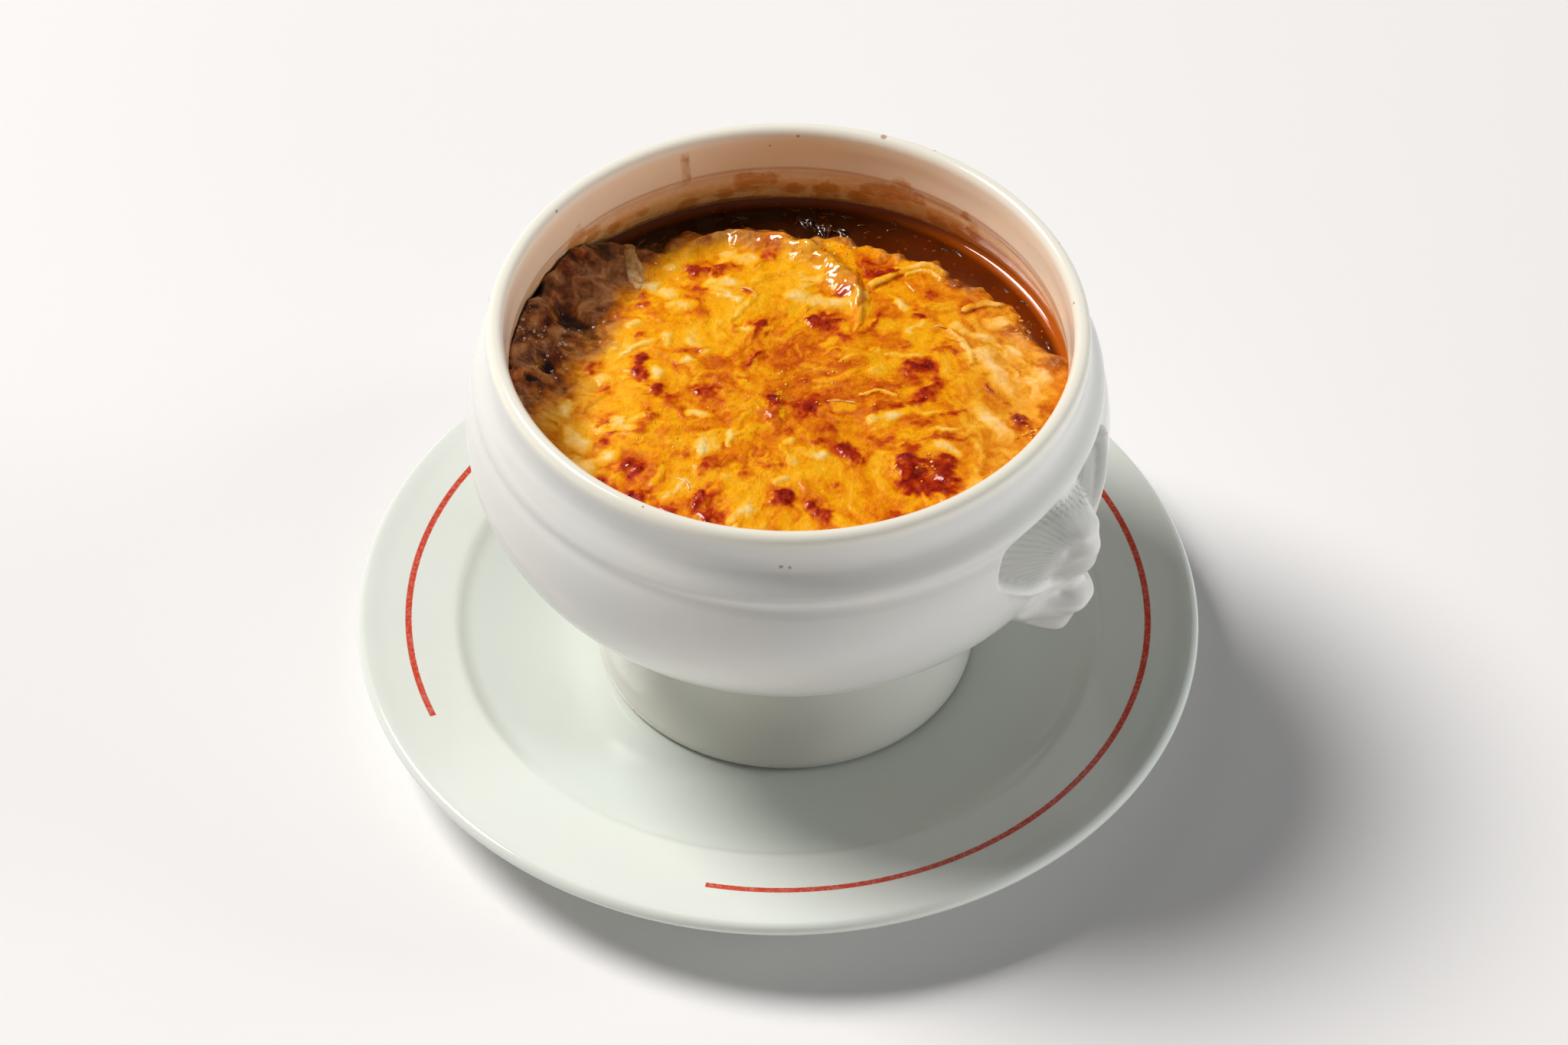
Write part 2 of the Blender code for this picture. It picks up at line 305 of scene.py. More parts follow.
def close_up(piece):
    """Merges doubles and turns every face outwards."""
    edit(piece)
    bpy.ops.mesh.remove_doubles(threshold=MERGE_DISTANCE)
    bpy.ops.mesh.normals_make_consistent(inside=False)
    bpy.ops.object.mode_set(mode="OBJECT")


def soften(piece, degrees=35.0):
    """Shades smoothly over edges that turn by less than this."""
    only(piece)
    bpy.ops.object.shade_smooth_by_angle(angle=math.radians(degrees))


def turned(name, outline, columns, x, y):
    """A closed body turned round an upright axis from (r, z) points."""
    clear_selection()
    bpy.ops.mesh.primitive_plane_add(size=MM, location=(0.0, 0.0, 0.0))
    piece = named(name)
    edit(piece)
    bpy.ops.mesh.merge(type="CENTER")
    first_r, first_z = outline[0]
    bpy.ops.transform.translate(value=((x + first_r) * MM, y * MM, first_z * MM))
    for (r, z), (next_r, next_z) in zip(outline, outline[1:]):
        bpy.ops.mesh.extrude_region_move(
            TRANSFORM_OT_translate={"value": ((next_r - r) * MM, 0.0, (next_z - z) * MM)})
    bpy.ops.mesh.select_all(action="SELECT")
    bpy.ops.mesh.spin(steps=columns, angle=2.0 * math.pi, center=(x * MM, y * MM, 0.0),
                      axis=(0.0, 0.0, 1.0))
    close_up(piece)
    return piece


def done(piece, look, slot, *nodes):
    """Gives a finished piece its look and its body, and hides its CAD nodes. The slot is not used.
    """
    piece.data.materials.clear()
    piece.data.materials.append(look.material)
    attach(piece, "root")
    if nodes:
        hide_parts(*nodes)
    if any(abs(v) > 1e-9 for row in piece.matrix_world - Matrix.Identity(4) for v in row):
        raise RuntimeError(f"{piece.name} isn't at the origin")
    return piece


# ---------------------------------------------------------- materials

def sum_of(operation, swapped=False):
    """An operator for sums between a socket and a number or another socket."""
    def apply(wire, other):
        return wire.math(operation, *((other, wire) if swapped else (wire, other)))
    return apply


class Wire:
    """A shader socket that sums can be written with."""

    __add__ = __radd__ = sum_of("ADD")
    __sub__, __rsub__ = sum_of("SUBTRACT"), sum_of("SUBTRACT", swapped=True)
    __mul__ = __rmul__ = sum_of("MULTIPLY")
    __truediv__, __pow__ = sum_of("DIVIDE"), sum_of("POWER")
    over = sum_of("MAXIMUM")

    def __init__(self, look, socket):
        self.look, self.socket = look, socket

    def __abs__(self):
        return self.math("ABSOLUTE", self)

    def math(self, operation, first, second=0.0):
        return self.look.node("Math", {"operation": operation}, {0: first, 1: second})

    def ease(self, low, high):
        """0 at low and 1 at high, with a soft start and end."""
        return self.look.node("MapRange", {"interpolation_type": "SMOOTHSTEP"},
                              {"Value": self, "From Min": low, "From Max": high})


class Look:
    """A material with one Principled shader."""

    def __init__(self, name, colour=None, **sockets):
        self.material = bpy.data.materials.new(name)
        self.material.use_nodes = True
        self.tree = self.material.node_tree
        self.shader = self.tree.nodes["Principled BSDF"]
        self.place = self.node("TexCoord", out="Object")
        self.colour = colour
        for socket, value in sockets.items():
            self.feed(socket.replace("_", " "), value)

    def fill(self, socket, value):
        if isinstance(value, Wire):
            self.tree.links.new(value.socket, socket)
        elif socket.type == "RGBA" and len(value) == 3:
            socket.default_value = (*value, 1.0)
        else:
            socket.default_value = value

    def feed(self, name, value):
        self.fill(self.shader.inputs[name], value)

    def node(self, kind, settings=None, sockets=None, out=0):
        made = self.tree.nodes.new("ShaderNode" + kind)
        for name, value in (settings or {}).items():
            setattr(made, name, value)
        for name, value in (sockets or {}).items():
            self.fill(made.inputs[name], value)
        return Wire(self, made.outputs[out])

    def mix(self, factor, first, second):
        return self.node("Mix", {"data_type": "RGBA"}, {0: factor, 6: first, 7: second}, 2)

    def coat(self, share, colour):
        """Lays one more colour over the look's own, as thickly as share says."""
        self.colour = self.mix(share, self.colour, colour)

    def ramp(self, value, stops):
        """A colour that passes through (place, colour) stops."""
        made = self.node("ValToRGB", {}, {0: value})
        band = made.socket.node.color_ramp
        while len(band.elements) < len(stops):
            band.elements.new(0.5)
        for element, (place, colour) in zip(band.elements, stops):
            element.position, element.color = place, (*colour, 1.0)
        return made

    def grain(self, size, detail=3.0, rough=0.5, warp=0.0, vector=None):
        """Noise with patches about size mm wide, near 0.5."""
        return self.node("TexNoise", {}, {"Vector": vector or self.place, "Scale": 1000.0 / size,
                                          "Detail": detail, "Roughness": rough, "Distortion": warp})

    def painted(self, name):
        return self.node("Attribute", {"attribute_name": name}, out="Fac")

    def relief(self, *layers):
        """Bump from (height, millimetres) layers."""
        normal = None
        for height, depth in layers:
            sockets = {"Height": height, "Distance": depth * MM, "Strength": 1.0}
            if normal:
                sockets["Normal"] = normal
            normal = self.node("Bump", {}, sockets)
        self.feed("Normal", normal)

    def along(self, axis):
        """How far a point is along x (0), y (1) or z (2), in mm."""
        return self.node("SeparateXYZ", {}, {0: self.place}, axis) / MM

    def round_axis(self, x, y):
        """Radius in mm, azimuth in radians and height in mm, round an upright axis."""
        across, away = self.along(0) - x, self.along(1) - y
        radius = (across * across + away * away) ** 0.5
        return radius, across.math("ARCTAN2", away, across), self.along(2)

    def facing(self, azimuth, degrees):
        """1 in one direction from the axis, falling to -1 in the opposite one."""
        return azimuth.math("COSINE", azimuth - math.radians(degrees))

    def spot(self, x, y, z, size):
        """1 near a point and 0 further off than size."""
        gap = self.node("VectorMath", {"operation": "DISTANCE"},
                        {0: self.place, 1: (x * MM, y * MM, z * MM)}, "Value")
        return gap.ease(size * MM, size * 0.45 * MM)


# -------------------------------------------------------------- saucer

def saucer_outline():
    """Half of the saucer's section, from the middle below to the middle above."""
    lip_r, lip_z = SAUCER_RADIUS - SAUCER_LIP, RIM_TOP - SAUCER_LIP
    under = smooth_line([(0, 3.6), (30, 3.6), (48.4, 3.6), (50.6, 3.0), (51.5, 1.4)], 3.0)
    foot = [(51.5, 1.4), (51.6, 0.7), (51.9, 0.2), (52.4, 0.0), (54.0, 0.0), (54.5, 0.2),
            (54.8, 0.7), (54.9, 1.4)]
    edge = arc(lip_r, lip_z, SAUCER_LIP, SAUCER_LIP, -60, 95, 14)
    back = smooth_line([(54.9, 1.4), (55.6, 4.2), (58.4, 6.6), (62.6, 8.8), (66.4, 10.8),
                        (70.0, 12.1), (77.0, 13.0), (84.0, 13.9), edge[0]], 1.6)
    rim = smooth_line([edge[-1], (lip_r - 1.6, RIM_TOP - 0.14), (lip_r - 3.0, RIM_TOP - 0.38),
                       (82.0, 17.3), (76.0, 16.75), (70.0, 16.12)], 1.2)
    step = smooth_line([(70.0, 16.12), (69.2, 15.95), (68.2, 15.5), (67.2, 14.9), (66.0, 14.3),
                        (64.8, 13.85), (63.4, 13.4), (60.0, 12.4)], 0.45)
    well = smooth_line([(60.0, 12.4), (55.0, 11.0), (50.0, 9.65), (46.0, 8.75), (42.5, 8.4),
                        (30, 8.4), (0, 8.4)], 1.6)
    return chain(under, foot, back, edge, rim, step, well)


# A dark speck in the glaze of the rim: x, y, z, size
SAUCER_SPECK = (89.2, 3.6, 16.8, 0.5)


class SOUP_OT_saucer(bpy.types.Operator):
    """Turns the saucer and glazes it, with its painted ring"""
    bl_idname = "soup.saucer"
    bl_label = "Saucer"

    def execute(self, context):
        wish = context.scene.soup_saucer
        piece = turned("saucer_fine", saucer_outline(), SAUCER_COLUMNS, 0.0, 0.0)
        soften(piece)
        look = Look("saucer_glaze_fine", wish.glaze, IOR=1.5, Specular_IOR_Level=0.5)
        radius, azimuth, height = look.round_axis(0.0, 0.0)
        wear = look.grain(0.7, 2.0)
        half = wish.ring_width / MM / 2.0
        off = abs(radius - wish.ring_radius / MM + (wear - 0.5) * 0.12)
        line = off.ease(half + 0.10, half - 0.10)
        ends = abs(azimuth - wish.gap_middle).ease(wish.gap_half, wish.gap_half + 0.002)
        ring = line * ends * height.ease(16.0, 16.4)
        cloud = look.grain(30.0, 2.0)
        look.coat(cloud.ease(0.35, 0.7) * 0.5, tone(224, 229, 222))
        look.coat(height.ease(15.5, 12.5) * 0.35, tone(204, 214, 208))
        look.coat(ring * (0.86 + 0.14 * wear.ease(0.3, 0.6)), wish.ring_colour)
        look.coat(look.spot(*SAUCER_SPECK) * 0.8, tone(120, 80, 50))
        look.feed("Base Color", look.colour)
        look.feed("Roughness", 0.09 + 0.05 * cloud + 0.10 * ring)
        look.relief((look.grain(16.0, 2.0), 0.10), (look.grain(2.5, 2.0), 0.006))
        done(piece, look, "saucer_glaze", "saucer")
        return {"FINISHED"}


# ---------------------------------------------------------------- bowl

def belly_radius(z):
    """Outer radius of the bowl at height z, between the foot and the bead."""
    return BELLY_RADIUS * dome((z - BELLY_Z) / BELLY_HALF_HEIGHT)


def cavity_radius(z):
    """Inner radius of the bowl at height z, below the collar."""
    upper = CAVITY_RADIUS + (COLLAR_RADIUS - CAVITY_RADIUS) * smooth(CAVITY_Z, COLLAR_Z, z)
    lower = CAVITY_RADIUS * dome((z - CAVITY_Z) / (FLOOR_Z - CAVITY_Z))
    return np.where(z >= CAVITY_Z, upper, lower)


def belly_line():
    """The belly's ellipse from the foot to the groove, nearly evenly spaced."""
    heights = np.concatenate([np.linspace(40.6, 50.0, 11), np.linspace(50.0, 82.0, 23)[1:]])
    return [(float(belly_radius(z)), float(z)) for z in heights]


def bowl_outline():
    """Half of the bowl's section, from the middle of the foot to the floor inside."""
    belly = belly_line()
    hollow = smooth_line([(0, 30.2), (12, 29.9), (22, 29.0), (28.6, 27.0), (31.4, 24.4),
                          (32.4, 21.5), (33.5, 17.5), (34.8, 12.8), (35.6, 10.2)], 2.2)
    ring = smooth_line([(35.6, 10.2), (35.9, 9.2), (36.7, 8.6), (38.6, 8.5), (39.6, 8.75),
                        (40.2, 9.5), (40.4, 10.6), (40.15, 11.6), (39.75, 12.6)], 0.45)
    cone = smooth_line([(39.75, 12.6), (39.1, 15.0), (38.2, 19.0), (37.2, 24.0), (36.7, 27.5),
                        (36.55, 30.0), (36.75, 32.0), (37.5, 34.2), (39.2, 36.6), (41.6, 38.7),
                        belly[0]], 1.3)
    bead = smooth_line([belly[-1], (65.15, 83.2), (64.85, 84.2), (64.85, 85.2), (64.95, 86.2),
                        (64.7, 87.4), (64.1, 88.6), (63.2, 89.9)], 0.5)
    neck = smooth_line([bead[-1], (62.3, 91.3), (61.75, 92.7), (61.5, 94.4), (61.5, 96.2),
                        (61.6, 97.7), (LIP_RADIUS + LIP_HALF_WIDTH, 98.9)], 0.7)
    lip = arc(LIP_RADIUS, BOWL_TOP - LIP_HALF_HEIGHT, LIP_HALF_WIDTH, LIP_HALF_HEIGHT, 3, 176, 18)
    wall = [(float(cavity_radius(z)), z)
            for z in (87.6, 84, 80, 76, 72, 66, 60, 54, 48, 43, 39.4, 37.2)]
    collar = smooth_line([lip[-1], (57.75, 97.0), (57.6, 94.6), (57.35, 92.4),
                          (COLLAR_RADIUS, 91.2), (57.25, 90.2), (57.5, 89.2), wall[0]], 0.6)
    wall = smooth_line(wall + [(12.0, FLOOR_Z + 0.2), (0.0, FLOOR_Z)], 1.8)
    return chain(hollow, ring, cone, belly, bead, neck, lip, collar, wall)


# The lower line of a mane: distance from the middle of the face, height
JAW = ((0, 3, 6, 10, 15, 20, 24), (60.5, 62.6, 63.6, 65.4, 68.8, 73.0, 76.4))
MANE_Z = 66.0               # the mane and its grooves fan out from this height
# Brows, eyes, cheeks and mouth: depth, place and width across, place and height up
FEATURES = [(0.75, 3.4, 1.8, 76.3, 1.7), (-1.15, 4.1, 1.5, 73.2, 1.5), (0.5, 4.4, 1.0, 70.6, 0.9),
            (-1.0, 3.9, 1.3, 59.6, 1.1), (0.7, 0.0, 2.6, 59.4, 1.6)]
WHISKERS = (61.6, 62.7, 63.8)   # heights of the fine lines beside the nose


def lion_relief(u, z, flute_depth):
    """How far a lion's head stands out of the belly at u across and z up, in mm.

    A narrow face runs down the middle, from the forehead under the bead to a
    chin cut off flat below.  The mane is a shallow scoop on each side of it,
    fluted in curved lines that part at the forehead, and ends at a soft step.
    """
    side = np.abs(u)
    face = 4.6 * smooth(86.6, 76.0, z) + 1.3 * bump(z, 71.5, 3.6) + 1.0 * bump(z, 66.5, 2.6)
    face += 5.2 * smooth(60.8, 54.5, z) + 3.6 * smooth(53.0, 45.0, z) + 1.1 * bump(z, 57.2, 2.6)
    width = 4.4 + 3.1 * smooth(63.0, 56.5, z)
    power = 2.5 + 0.7 * smooth(63.0, 56.5, z)
    face = face / (1.0 + (side / width) ** power)
    chin = 44.0 + 11.5 * (side / 14.0) ** 2
    face *= smooth(chin, chin + 3.2, z)
    jaw = np.interp(side, *JAW)
    above = np.maximum(z - MANE_Z, 0.0)
    mane = smooth(1.03, 0.97, ((side / 24.2) ** 6 + (above / 19.4) ** 6) ** (1 / 6))
    mane = mane * smooth(jaw - 0.8, jaw + 2.2, z)
    scoop = (1.3 + 1.1 * smooth(64.0, 74.0, z) + 1.1 * smooth(74.0, 84.0, z)) * mane
    scoop *= np.clip((side - 3.0) / 19.0, 0.0, 1.0) ** 0.7
    scoop += 1.2 * bump(side, 6.0, 2.6) * bump(z, 66.3, 2.6)
    ridge = 0.5 * bump(z, jaw - 0.6, 1.3) * smooth(2.5, 6.0, side) * smooth(25.0, 17.0, side)
    turn = np.arctan2(side, z - MANE_Z)
    reach = np.hypot(side, z - MANE_Z)
    phase = 45.0 * (turn - 0.010 * (reach - 12.0)) + 0.5 * np.sin(7.0 * turn)
    flute = flute_depth * (2.0 * np.abs(np.sin(phase)) ** 0.8 - 1.0)
    flute *= np.maximum(smooth(2.2, 5.5, side), smooth(79.0, 82.0, z)) * mane
    flute *= (0.30 + 0.70 * smooth(66.0, 79.0, z)) * (0.45 + 0.55 * smooth(20.0, 7.0, side))
    detail = 0.0
    for depth, across, wide, up, high in FEATURES:
        detail = detail + depth * bump(side, across, wide) * bump(z, up, high)
    detail -= 0.4 * bump(z - 0.07 * side ** 2, 53.2, 1.2) * smooth(8.5, 5.0, side)
    for line in WHISKERS:
        detail -= 0.16 * bump(z - 0.25 * side, line, 0.35) * bump(side, 2.0, 1.2)
    return face - scoop + ridge + flute + detail


def mane_shade(u, z):
    """How much painted shade darkens the glaze in the manes, from 0 to 1."""
    side = np.abs(u)
    jaw = np.interp(side, *JAW)
    top = smooth(87.0, 84.5, z + 0.02 * (side - 6.0) ** 2 - 0.6)
    inside = smooth(24.6, 22.6, side) * smooth(jaw, jaw + 1.8, z) * top
    pool = 0.35 + 0.65 * smooth(5.0, 12.0, side + 0.8 * (z - 72.0))
    return inside * smooth(2.0, 6.5, side) * pool


def lug_turn(azimuth):
    """Angle from the nearer lion's middle."""
    turns = [np.arctan2(np.sin(azimuth - middle), np.cos(azimuth - middle))
             for middle in (LUG_AZIMUTH, LUG_AZIMUTH + math.pi)]
    return np.where(np.abs(turns[0]) < np.abs(turns[1]), turns[0], turns[1])


def on_lions(points, low, high):
    """Which points lie on the outside of the belly where the lions are."""
    x, y, z = (points - (AXIS_X, AXIS_Y, 0.0)).T
    between = np.where(z > 40.0, 0.5 * (cavity_radius(z) + belly_radius(z)), 99.0)
    near = np.abs(lug_turn(np.arctan2(y, x))) < LUG_HALF_ANGLE
    return (np.hypot(x, y) > between) & (z > low) & (z < high) & near


def model_lions(piece, outline, flute_depth):
    """Divides the belly where the lions are, and carves them."""
    centres = values_of(piece.data.polygons, "center", 3) / MM
    select_parts(piece, "FACE", on_lions(centres, 41.5, 88.6))
    bpy.ops.mesh.subdivide(number_cuts=4, smoothness=0.0)
    bpy.ops.object.mode_set(mode="OBJECT")
    points = points_of(piece)
    here = on_lions(points, 41.0, 88.8)
    x, y, z = (points[here] - (AXIS_X, AXIS_Y, 0.0)).T
    outer = np.array([(r, up) for r, up in outline
                      if r > 41.0 and 38.0 < up < 90.5 and r > cavity_radius(up) + 1.5])
    azimuth = np.arctan2(y, x)
    across = lug_turn(azimuth) * BELLY_RADIUS
    radius = np.interp(z, outer[:, 1], outer[:, 0]) + lion_relief(across, z, flute_depth)
    points[here, 0] = AXIS_X + radius * np.cos(azimuth)
    points[here, 1] = AXIS_Y + radius * np.sin(azimuth)
    place_points(piece, points)
    shade = np.zeros(len(points))
    shade[here] = mane_shade(across, z)
    paint(piece, "mane", shade)


# Stains below the collar: azimuth in degrees, height, size
WALL_STAINS = [
    (99.0, 87.2, 2.6), (95.0, 87.8, 2.0), (70.0, 88.2, 2.2), (66.0, 89.4, 2.4), (62.0, 89.0, 1.6),
    (73.5, 87.0, 1.5), (82.0, 86.0, 1.5), (82.5, 83.6, 2.2), (48.0, 86.6, 1.9), (122.5, 85.6, 1.3),
    (141.0, 89.4, 2.4), (136.0, 87.4, 1.8), (89.0, 84.4, 1.6), (76.0, 83.6, 1.6), (50.0, 90.2, 1.4),
    (112.0, 82.4, 1.8), (130.0, 85.2, 1.4), (104.0, 84.0, 1.4), (58.0, 83.2, 1.8)]
# Dried specks and smudges: radius, azimuth in degrees, height, size
RIM_SPECKS = [
    (59.7, 71.0, 101.0, 0.9), (60.6, 60.0, 100.9, 0.5), (58.4, 7.0, 100.4, 0.45),
    (58.4, 146.0, 100.4, 0.5), (57.9, 88.6, 99.4, 0.55), (57.6, 94.4, 97.0, 0.4),
    (61.4, 47.0, 99.6, 0.6), (61.5, 43.5, 99.2, 0.5), (61.6, -90.9, 93.4, 0.6),
    (61.6, -89.3, 93.2, 0.5), (60.1, -118.0, 101.0, 0.35), (60.9, 24.0, 100.6, 0.4)]


STAIN_RADIUS = 58.6         # where the stains are centred, just inside the glaze
DRIP_AZIMUTH = math.radians(112.7)


def round_bowl(reach, degrees, up):
    """A place given by its distance and direction from the bowl's axis."""
    turn = math.radians(degrees)
    return AXIS_X + reach * math.cos(turn), AXIS_Y + reach * math.sin(turn), up


def bowl_look(wish):
    """White glaze, with broth dried on the inner wall below the collar."""
    look = Look("bowl_glaze_fine", wish.glaze, IOR=1.5, Specular_IOR_Level=0.5)
    radius, azimuth, height = look.round_axis(AXIS_X, AXIS_Y)
    cloud = look.grain(26.0, 2.0)
    look.coat(cloud.ease(0.35, 0.7), tone(224, 224, 220))
    # The foot's glaze is darker: partly its own duller tone, partly painted shade under the belly
    look.coat(height.ease(40.0, 34.0), tone(215, 214, 204))
    # Painted shade: the glaze is darkened in the manes, where the flanks lie in shade
    look.coat(look.painted("mane") * 0.60, tone(150, 150, 140))
    look.coat(height.ease(97.0, 100.0) * 0.9, wish.lip_glaze)
    inner = radius.ease(59.9, 59.5) * height.ease(99.0, 98.0) * height.ease(60.0, 66.0)
    # Smears that run round the wall: noise over the direction and the height
    band = look.node("CombineXYZ", {}, {0: look.facing(azimuth, 0.0) * 5.0,
                                        1: look.facing(azimuth, 90.0) * 5.0, 2: height * 0.50})
    smear = look.grain(1000.0, 6.0, 0.62, 0.5, band)
    blotch, crumble = look.grain(4.6, 5.0, 0.62, 0.5), look.grain(1.7, 5.0, 0.68, 0.4)
    away = look.facing(azimuth, 120.0).ease(0.14, 0.90)
    # Painted light: the right of the inner wall, where the window light falls on it, is painted
    # nearly white
    look.coat(inner * (1.0 - away) * 0.7, tone(238, 246, 244))
    look.coat(inner * 0.42, tone(244, 210, 164))
    look.coat(inner * height.ease(92.4, 84.5) * (0.86 + 0.09 * away), tone(252, 203, 128))
    crease = inner * abs(height - 91.1 - (smear - 0.5) * 0.5).ease(0.6, 0.1)
    look.coat(crease * 0.42, tone(168, 104, 58))
    below = inner * height.ease(91.2, 90.4)
    film = below * (0.30 + 0.70 * height.ease(88.5, 82.5))
    film = film * (blotch + (crumble - 0.5) * 0.6).ease(0.36, 0.62)
    look.coat(film * 0.62, tone(234, 140, 22))
    dirt = below * smear.ease(0.58, 0.72) * 0.5
    torn = (smear - 0.5) * 2.6 + (crumble - 0.5) * 1.6
    for degrees, up, size in WALL_STAINS:
        mark = look.spot(*round_bowl(STAIN_RADIUS, degrees, up), size * 2.0)
        dirt = dirt.over(inner * (mark + torn * mark.ease(0.0, 0.3)).ease(0.30, 1.10))
    look.coat(dirt * 0.72, wish.stain)
    ochre = inner * height.ease(87.5, 82.0) * look.facing(azimuth, 10.0).ease(0.56, 0.98)
    look.coat(ochre * 0.80, tone(240, 150, 12))
    tide = inner * abs(height - 80.6 - (smear - 0.5) * 3.0).ease(1.2, 0.2)
    look.coat(tide * 0.60, tone(110, 58, 10))
    drip = abs(azimuth - DRIP_AZIMUTH + (smear - 0.5) * 0.02).ease(0.024, 0.010)
    drip = drip * inner * height.ease(89.0, 90.5) * height.ease(98.8, 97.4)
    drip = drip * (0.30 + 0.5 * look.grain(3.2, 2.0).ease(0.40, 0.60))
    look.coat(drip, tone(176, 116, 62))
    for reach, degrees, up, size in RIM_SPECKS:
        look.coat(look.spot(*round_bowl(reach, degrees, up), size) * 0.7, tone(168, 104, 62))
    look.feed("Base Color", look.colour)
    look.feed("Roughness", 0.14 + 0.06 * cloud + 0.20 * dirt)
    look.relief((look.grain(13.0, 2.0), 0.16), (look.grain(2.5, 2.0), 0.008),
                (smear * dirt, 0.12))
    return look


class SOUP_OT_bowl(bpy.types.Operator):
    """Turns the footed bowl, carves its two lions and glazes it"""
    bl_idname = "soup.bowl"
    bl_label = "Bowl"

    def execute(self, context):
        wish = context.scene.soup_bowl
        outline = bowl_outline()
        piece = turned("bowl_fine", outline, BOWL_COLUMNS, AXIS_X, AXIS_Y)
        model_lions(piece, outline, wish.flute_depth / MM)
        soften(piece, 50.0)
        done(piece, bowl_look(wish), "bowl_glaze", "bowl")
        return {"FINISHED"}


# --------------------------------------------------------------- broth

CLIMB_WIDTH = 6.0           # how far in from the wall the broth climbs


class SOUP_OT_broth(bpy.types.Operator):
    """Pours the broth, which climbs a little at the wall"""
    bl_idname = "soup.broth"
    bl_label = "Broth"

    def execute(self, context):
        wish = context.scene.soup_broth
        rise = wish.meniscus / MM
        edge = float(cavity_radius(LEVEL + rise)) + 0.08
        low = [(0.0, 37.0), (12.0, 37.2)]
        low += [(float(cavity_radius(z)) - 0.25, z) for z in (39.4, 43, 48, 54, 60, 66, 72, 76)]
        low += [(edge - 0.3, LEVEL - 0.8), (edge, LEVEL + rise)]
        shore = [(edge - gap, LEVEL + rise * math.exp(-gap / 0.6) * (1.0 - gap / CLIMB_WIDTH))
                 for gap in (0.0, 0.2, 0.4, 0.6, 0.8, 1.0, 1.25, 1.5, 2.0, 2.5, 3.0, 4.0, 5.0,
                             CLIMB_WIDTH)]
        top = smooth_line([(edge - CLIMB_WIDTH, LEVEL), (44.0, LEVEL), (20.0, LEVEL),
                           (0.0, LEVEL)], 1.0)
        piece = turned("broth_pool", chain(smooth_line(low, 3.0), smooth_line(shore, 0.3), top),
                       BOWL_COLUMNS, AXIS_X, AXIS_Y)
        points = points_of(piece)
        x, y = points[:, 0] - AXIS_X, points[:, 1] - AXIS_Y
        calm = smooth(edge - 1.5, edge - 4.0, np.hypot(x, y)) * (points[:, 2] > LEVEL - 0.01)
        points[:, 2] += calm * (0.10 * layered(x, y, 5.0, 50, 3) + 0.05)
        place_points(piece, points)
        soften(piece, 60.0)
        look = Look("broth_fine", wish.dark, IOR=1.36, Specular_IOR_Level=0.3, Coat_Roughness=0.02)
        radius, azimuth = look.round_axis(AXIS_X, AXIS_Y)[:2]
        cloud = look.grain(9.0, 4.0, 0.55, 0.6)
        side = abs(azimuth - math.radians(12.0)).ease(1.35, 0.45)
        look.coat(side, wish.red)
        look.coat(cloud.ease(0.42, 0.66) * 0.6, tone(70, 28, 10))
        look.coat(radius.ease(56.6, 58.8) * (0.30 + 0.50 * side), tone(196, 92, 6))
        look.coat(look.grain(1.4, 2.0).ease(0.66, 0.72) * 0.5, tone(150, 84, 34))
        look.feed("Base Color", look.colour)
        look.feed("Roughness", 0.04 + 0.06 * cloud)
        look.feed("Coat Weight", 0.3 + 0.6 * radius.ease(57.4, 58.2))
        look.relief((cloud * radius.ease(57.6, 55.0), 0.18))
        done(piece, look, "broth", "broth")
        return {"FINISHED"}


# -------------------------------------------------------------- cheese

# Places on the cap in mm from the bowl's axis: x, y, half length, half width, turn in degrees
BLISTERS = [
    (7.3, 19.6, 4.2, 2.1, 3), (-5.7, 17.3, 3.4, 1.8, 86), (27.7, 22.0, 1.8, 1.0, -40),
    (16.3, 36.6, 4.4, 1.0, -63), (21.3, 35.2, 2.5, 1.1, 8), (8.0, 41.2, 2.8, 0.8, -50),
    (-18.3, 35.2, 3.5, 2.2, -12), (-30.4, 4.9, 4.3, 1.6, 94), (-26.7, -2.0, 2.9, 1.4, -12),
    (-17.0, -1.9, 2.8, 1.4, -8), (-3.1, -3.9, 1.4, 1.2, 0), (3.0, -6.3, 1.8, 1.4, 40),
    (4.7, -4.2, 2.2, 1.4, 10), (-7.5, 7.4, 2.6, 0.9, 56), (26.1, 6.0, 2.6, 1.8, 0),
    (29.4, 7.2, 1.6, 0.8, -30), (28.3, -1.7, 4.2, 1.2, 42), (26.6, -21.2, 4.6, 1.4, -14),
    (28.2, -28.2, 4.8, 1.4, -6), (12.9, -19.4, 3.6, 2.1, -50), (24.2, -22.0, 3.8, 3.0, -60),
    (30.8, -21.6, 3.4, 2.2, -14), (32.4, -25.0, 2.6, 1.7, -70), (27.0, -28.2, 4.4, 1.3, -6),
    (48.2, -8.2, 4.4, 1.2, -65), (-31.7, -23.3, 3.4, 1.6, -10), (-1.1, -32.0, 2.8, 2.3, 0),
    (-17.3, -32.2, 3.0, 1.7, 80), (-16.0, -37.5, 3.0, 1.6, -20), (-24.0, -35.3, 2.6, 1.3, -30),
    (-29.8, -31.0, 1.8, 0.7, -14), (-36.0, -28.6, 1.5, 0.8, -40), (5.0, -33.0, 1.1, 1.9, 0),
    (7.2, -36.0, 1.9, 1.4, -40), (22.3, -37.2, 2.8, 1.1, 25)]
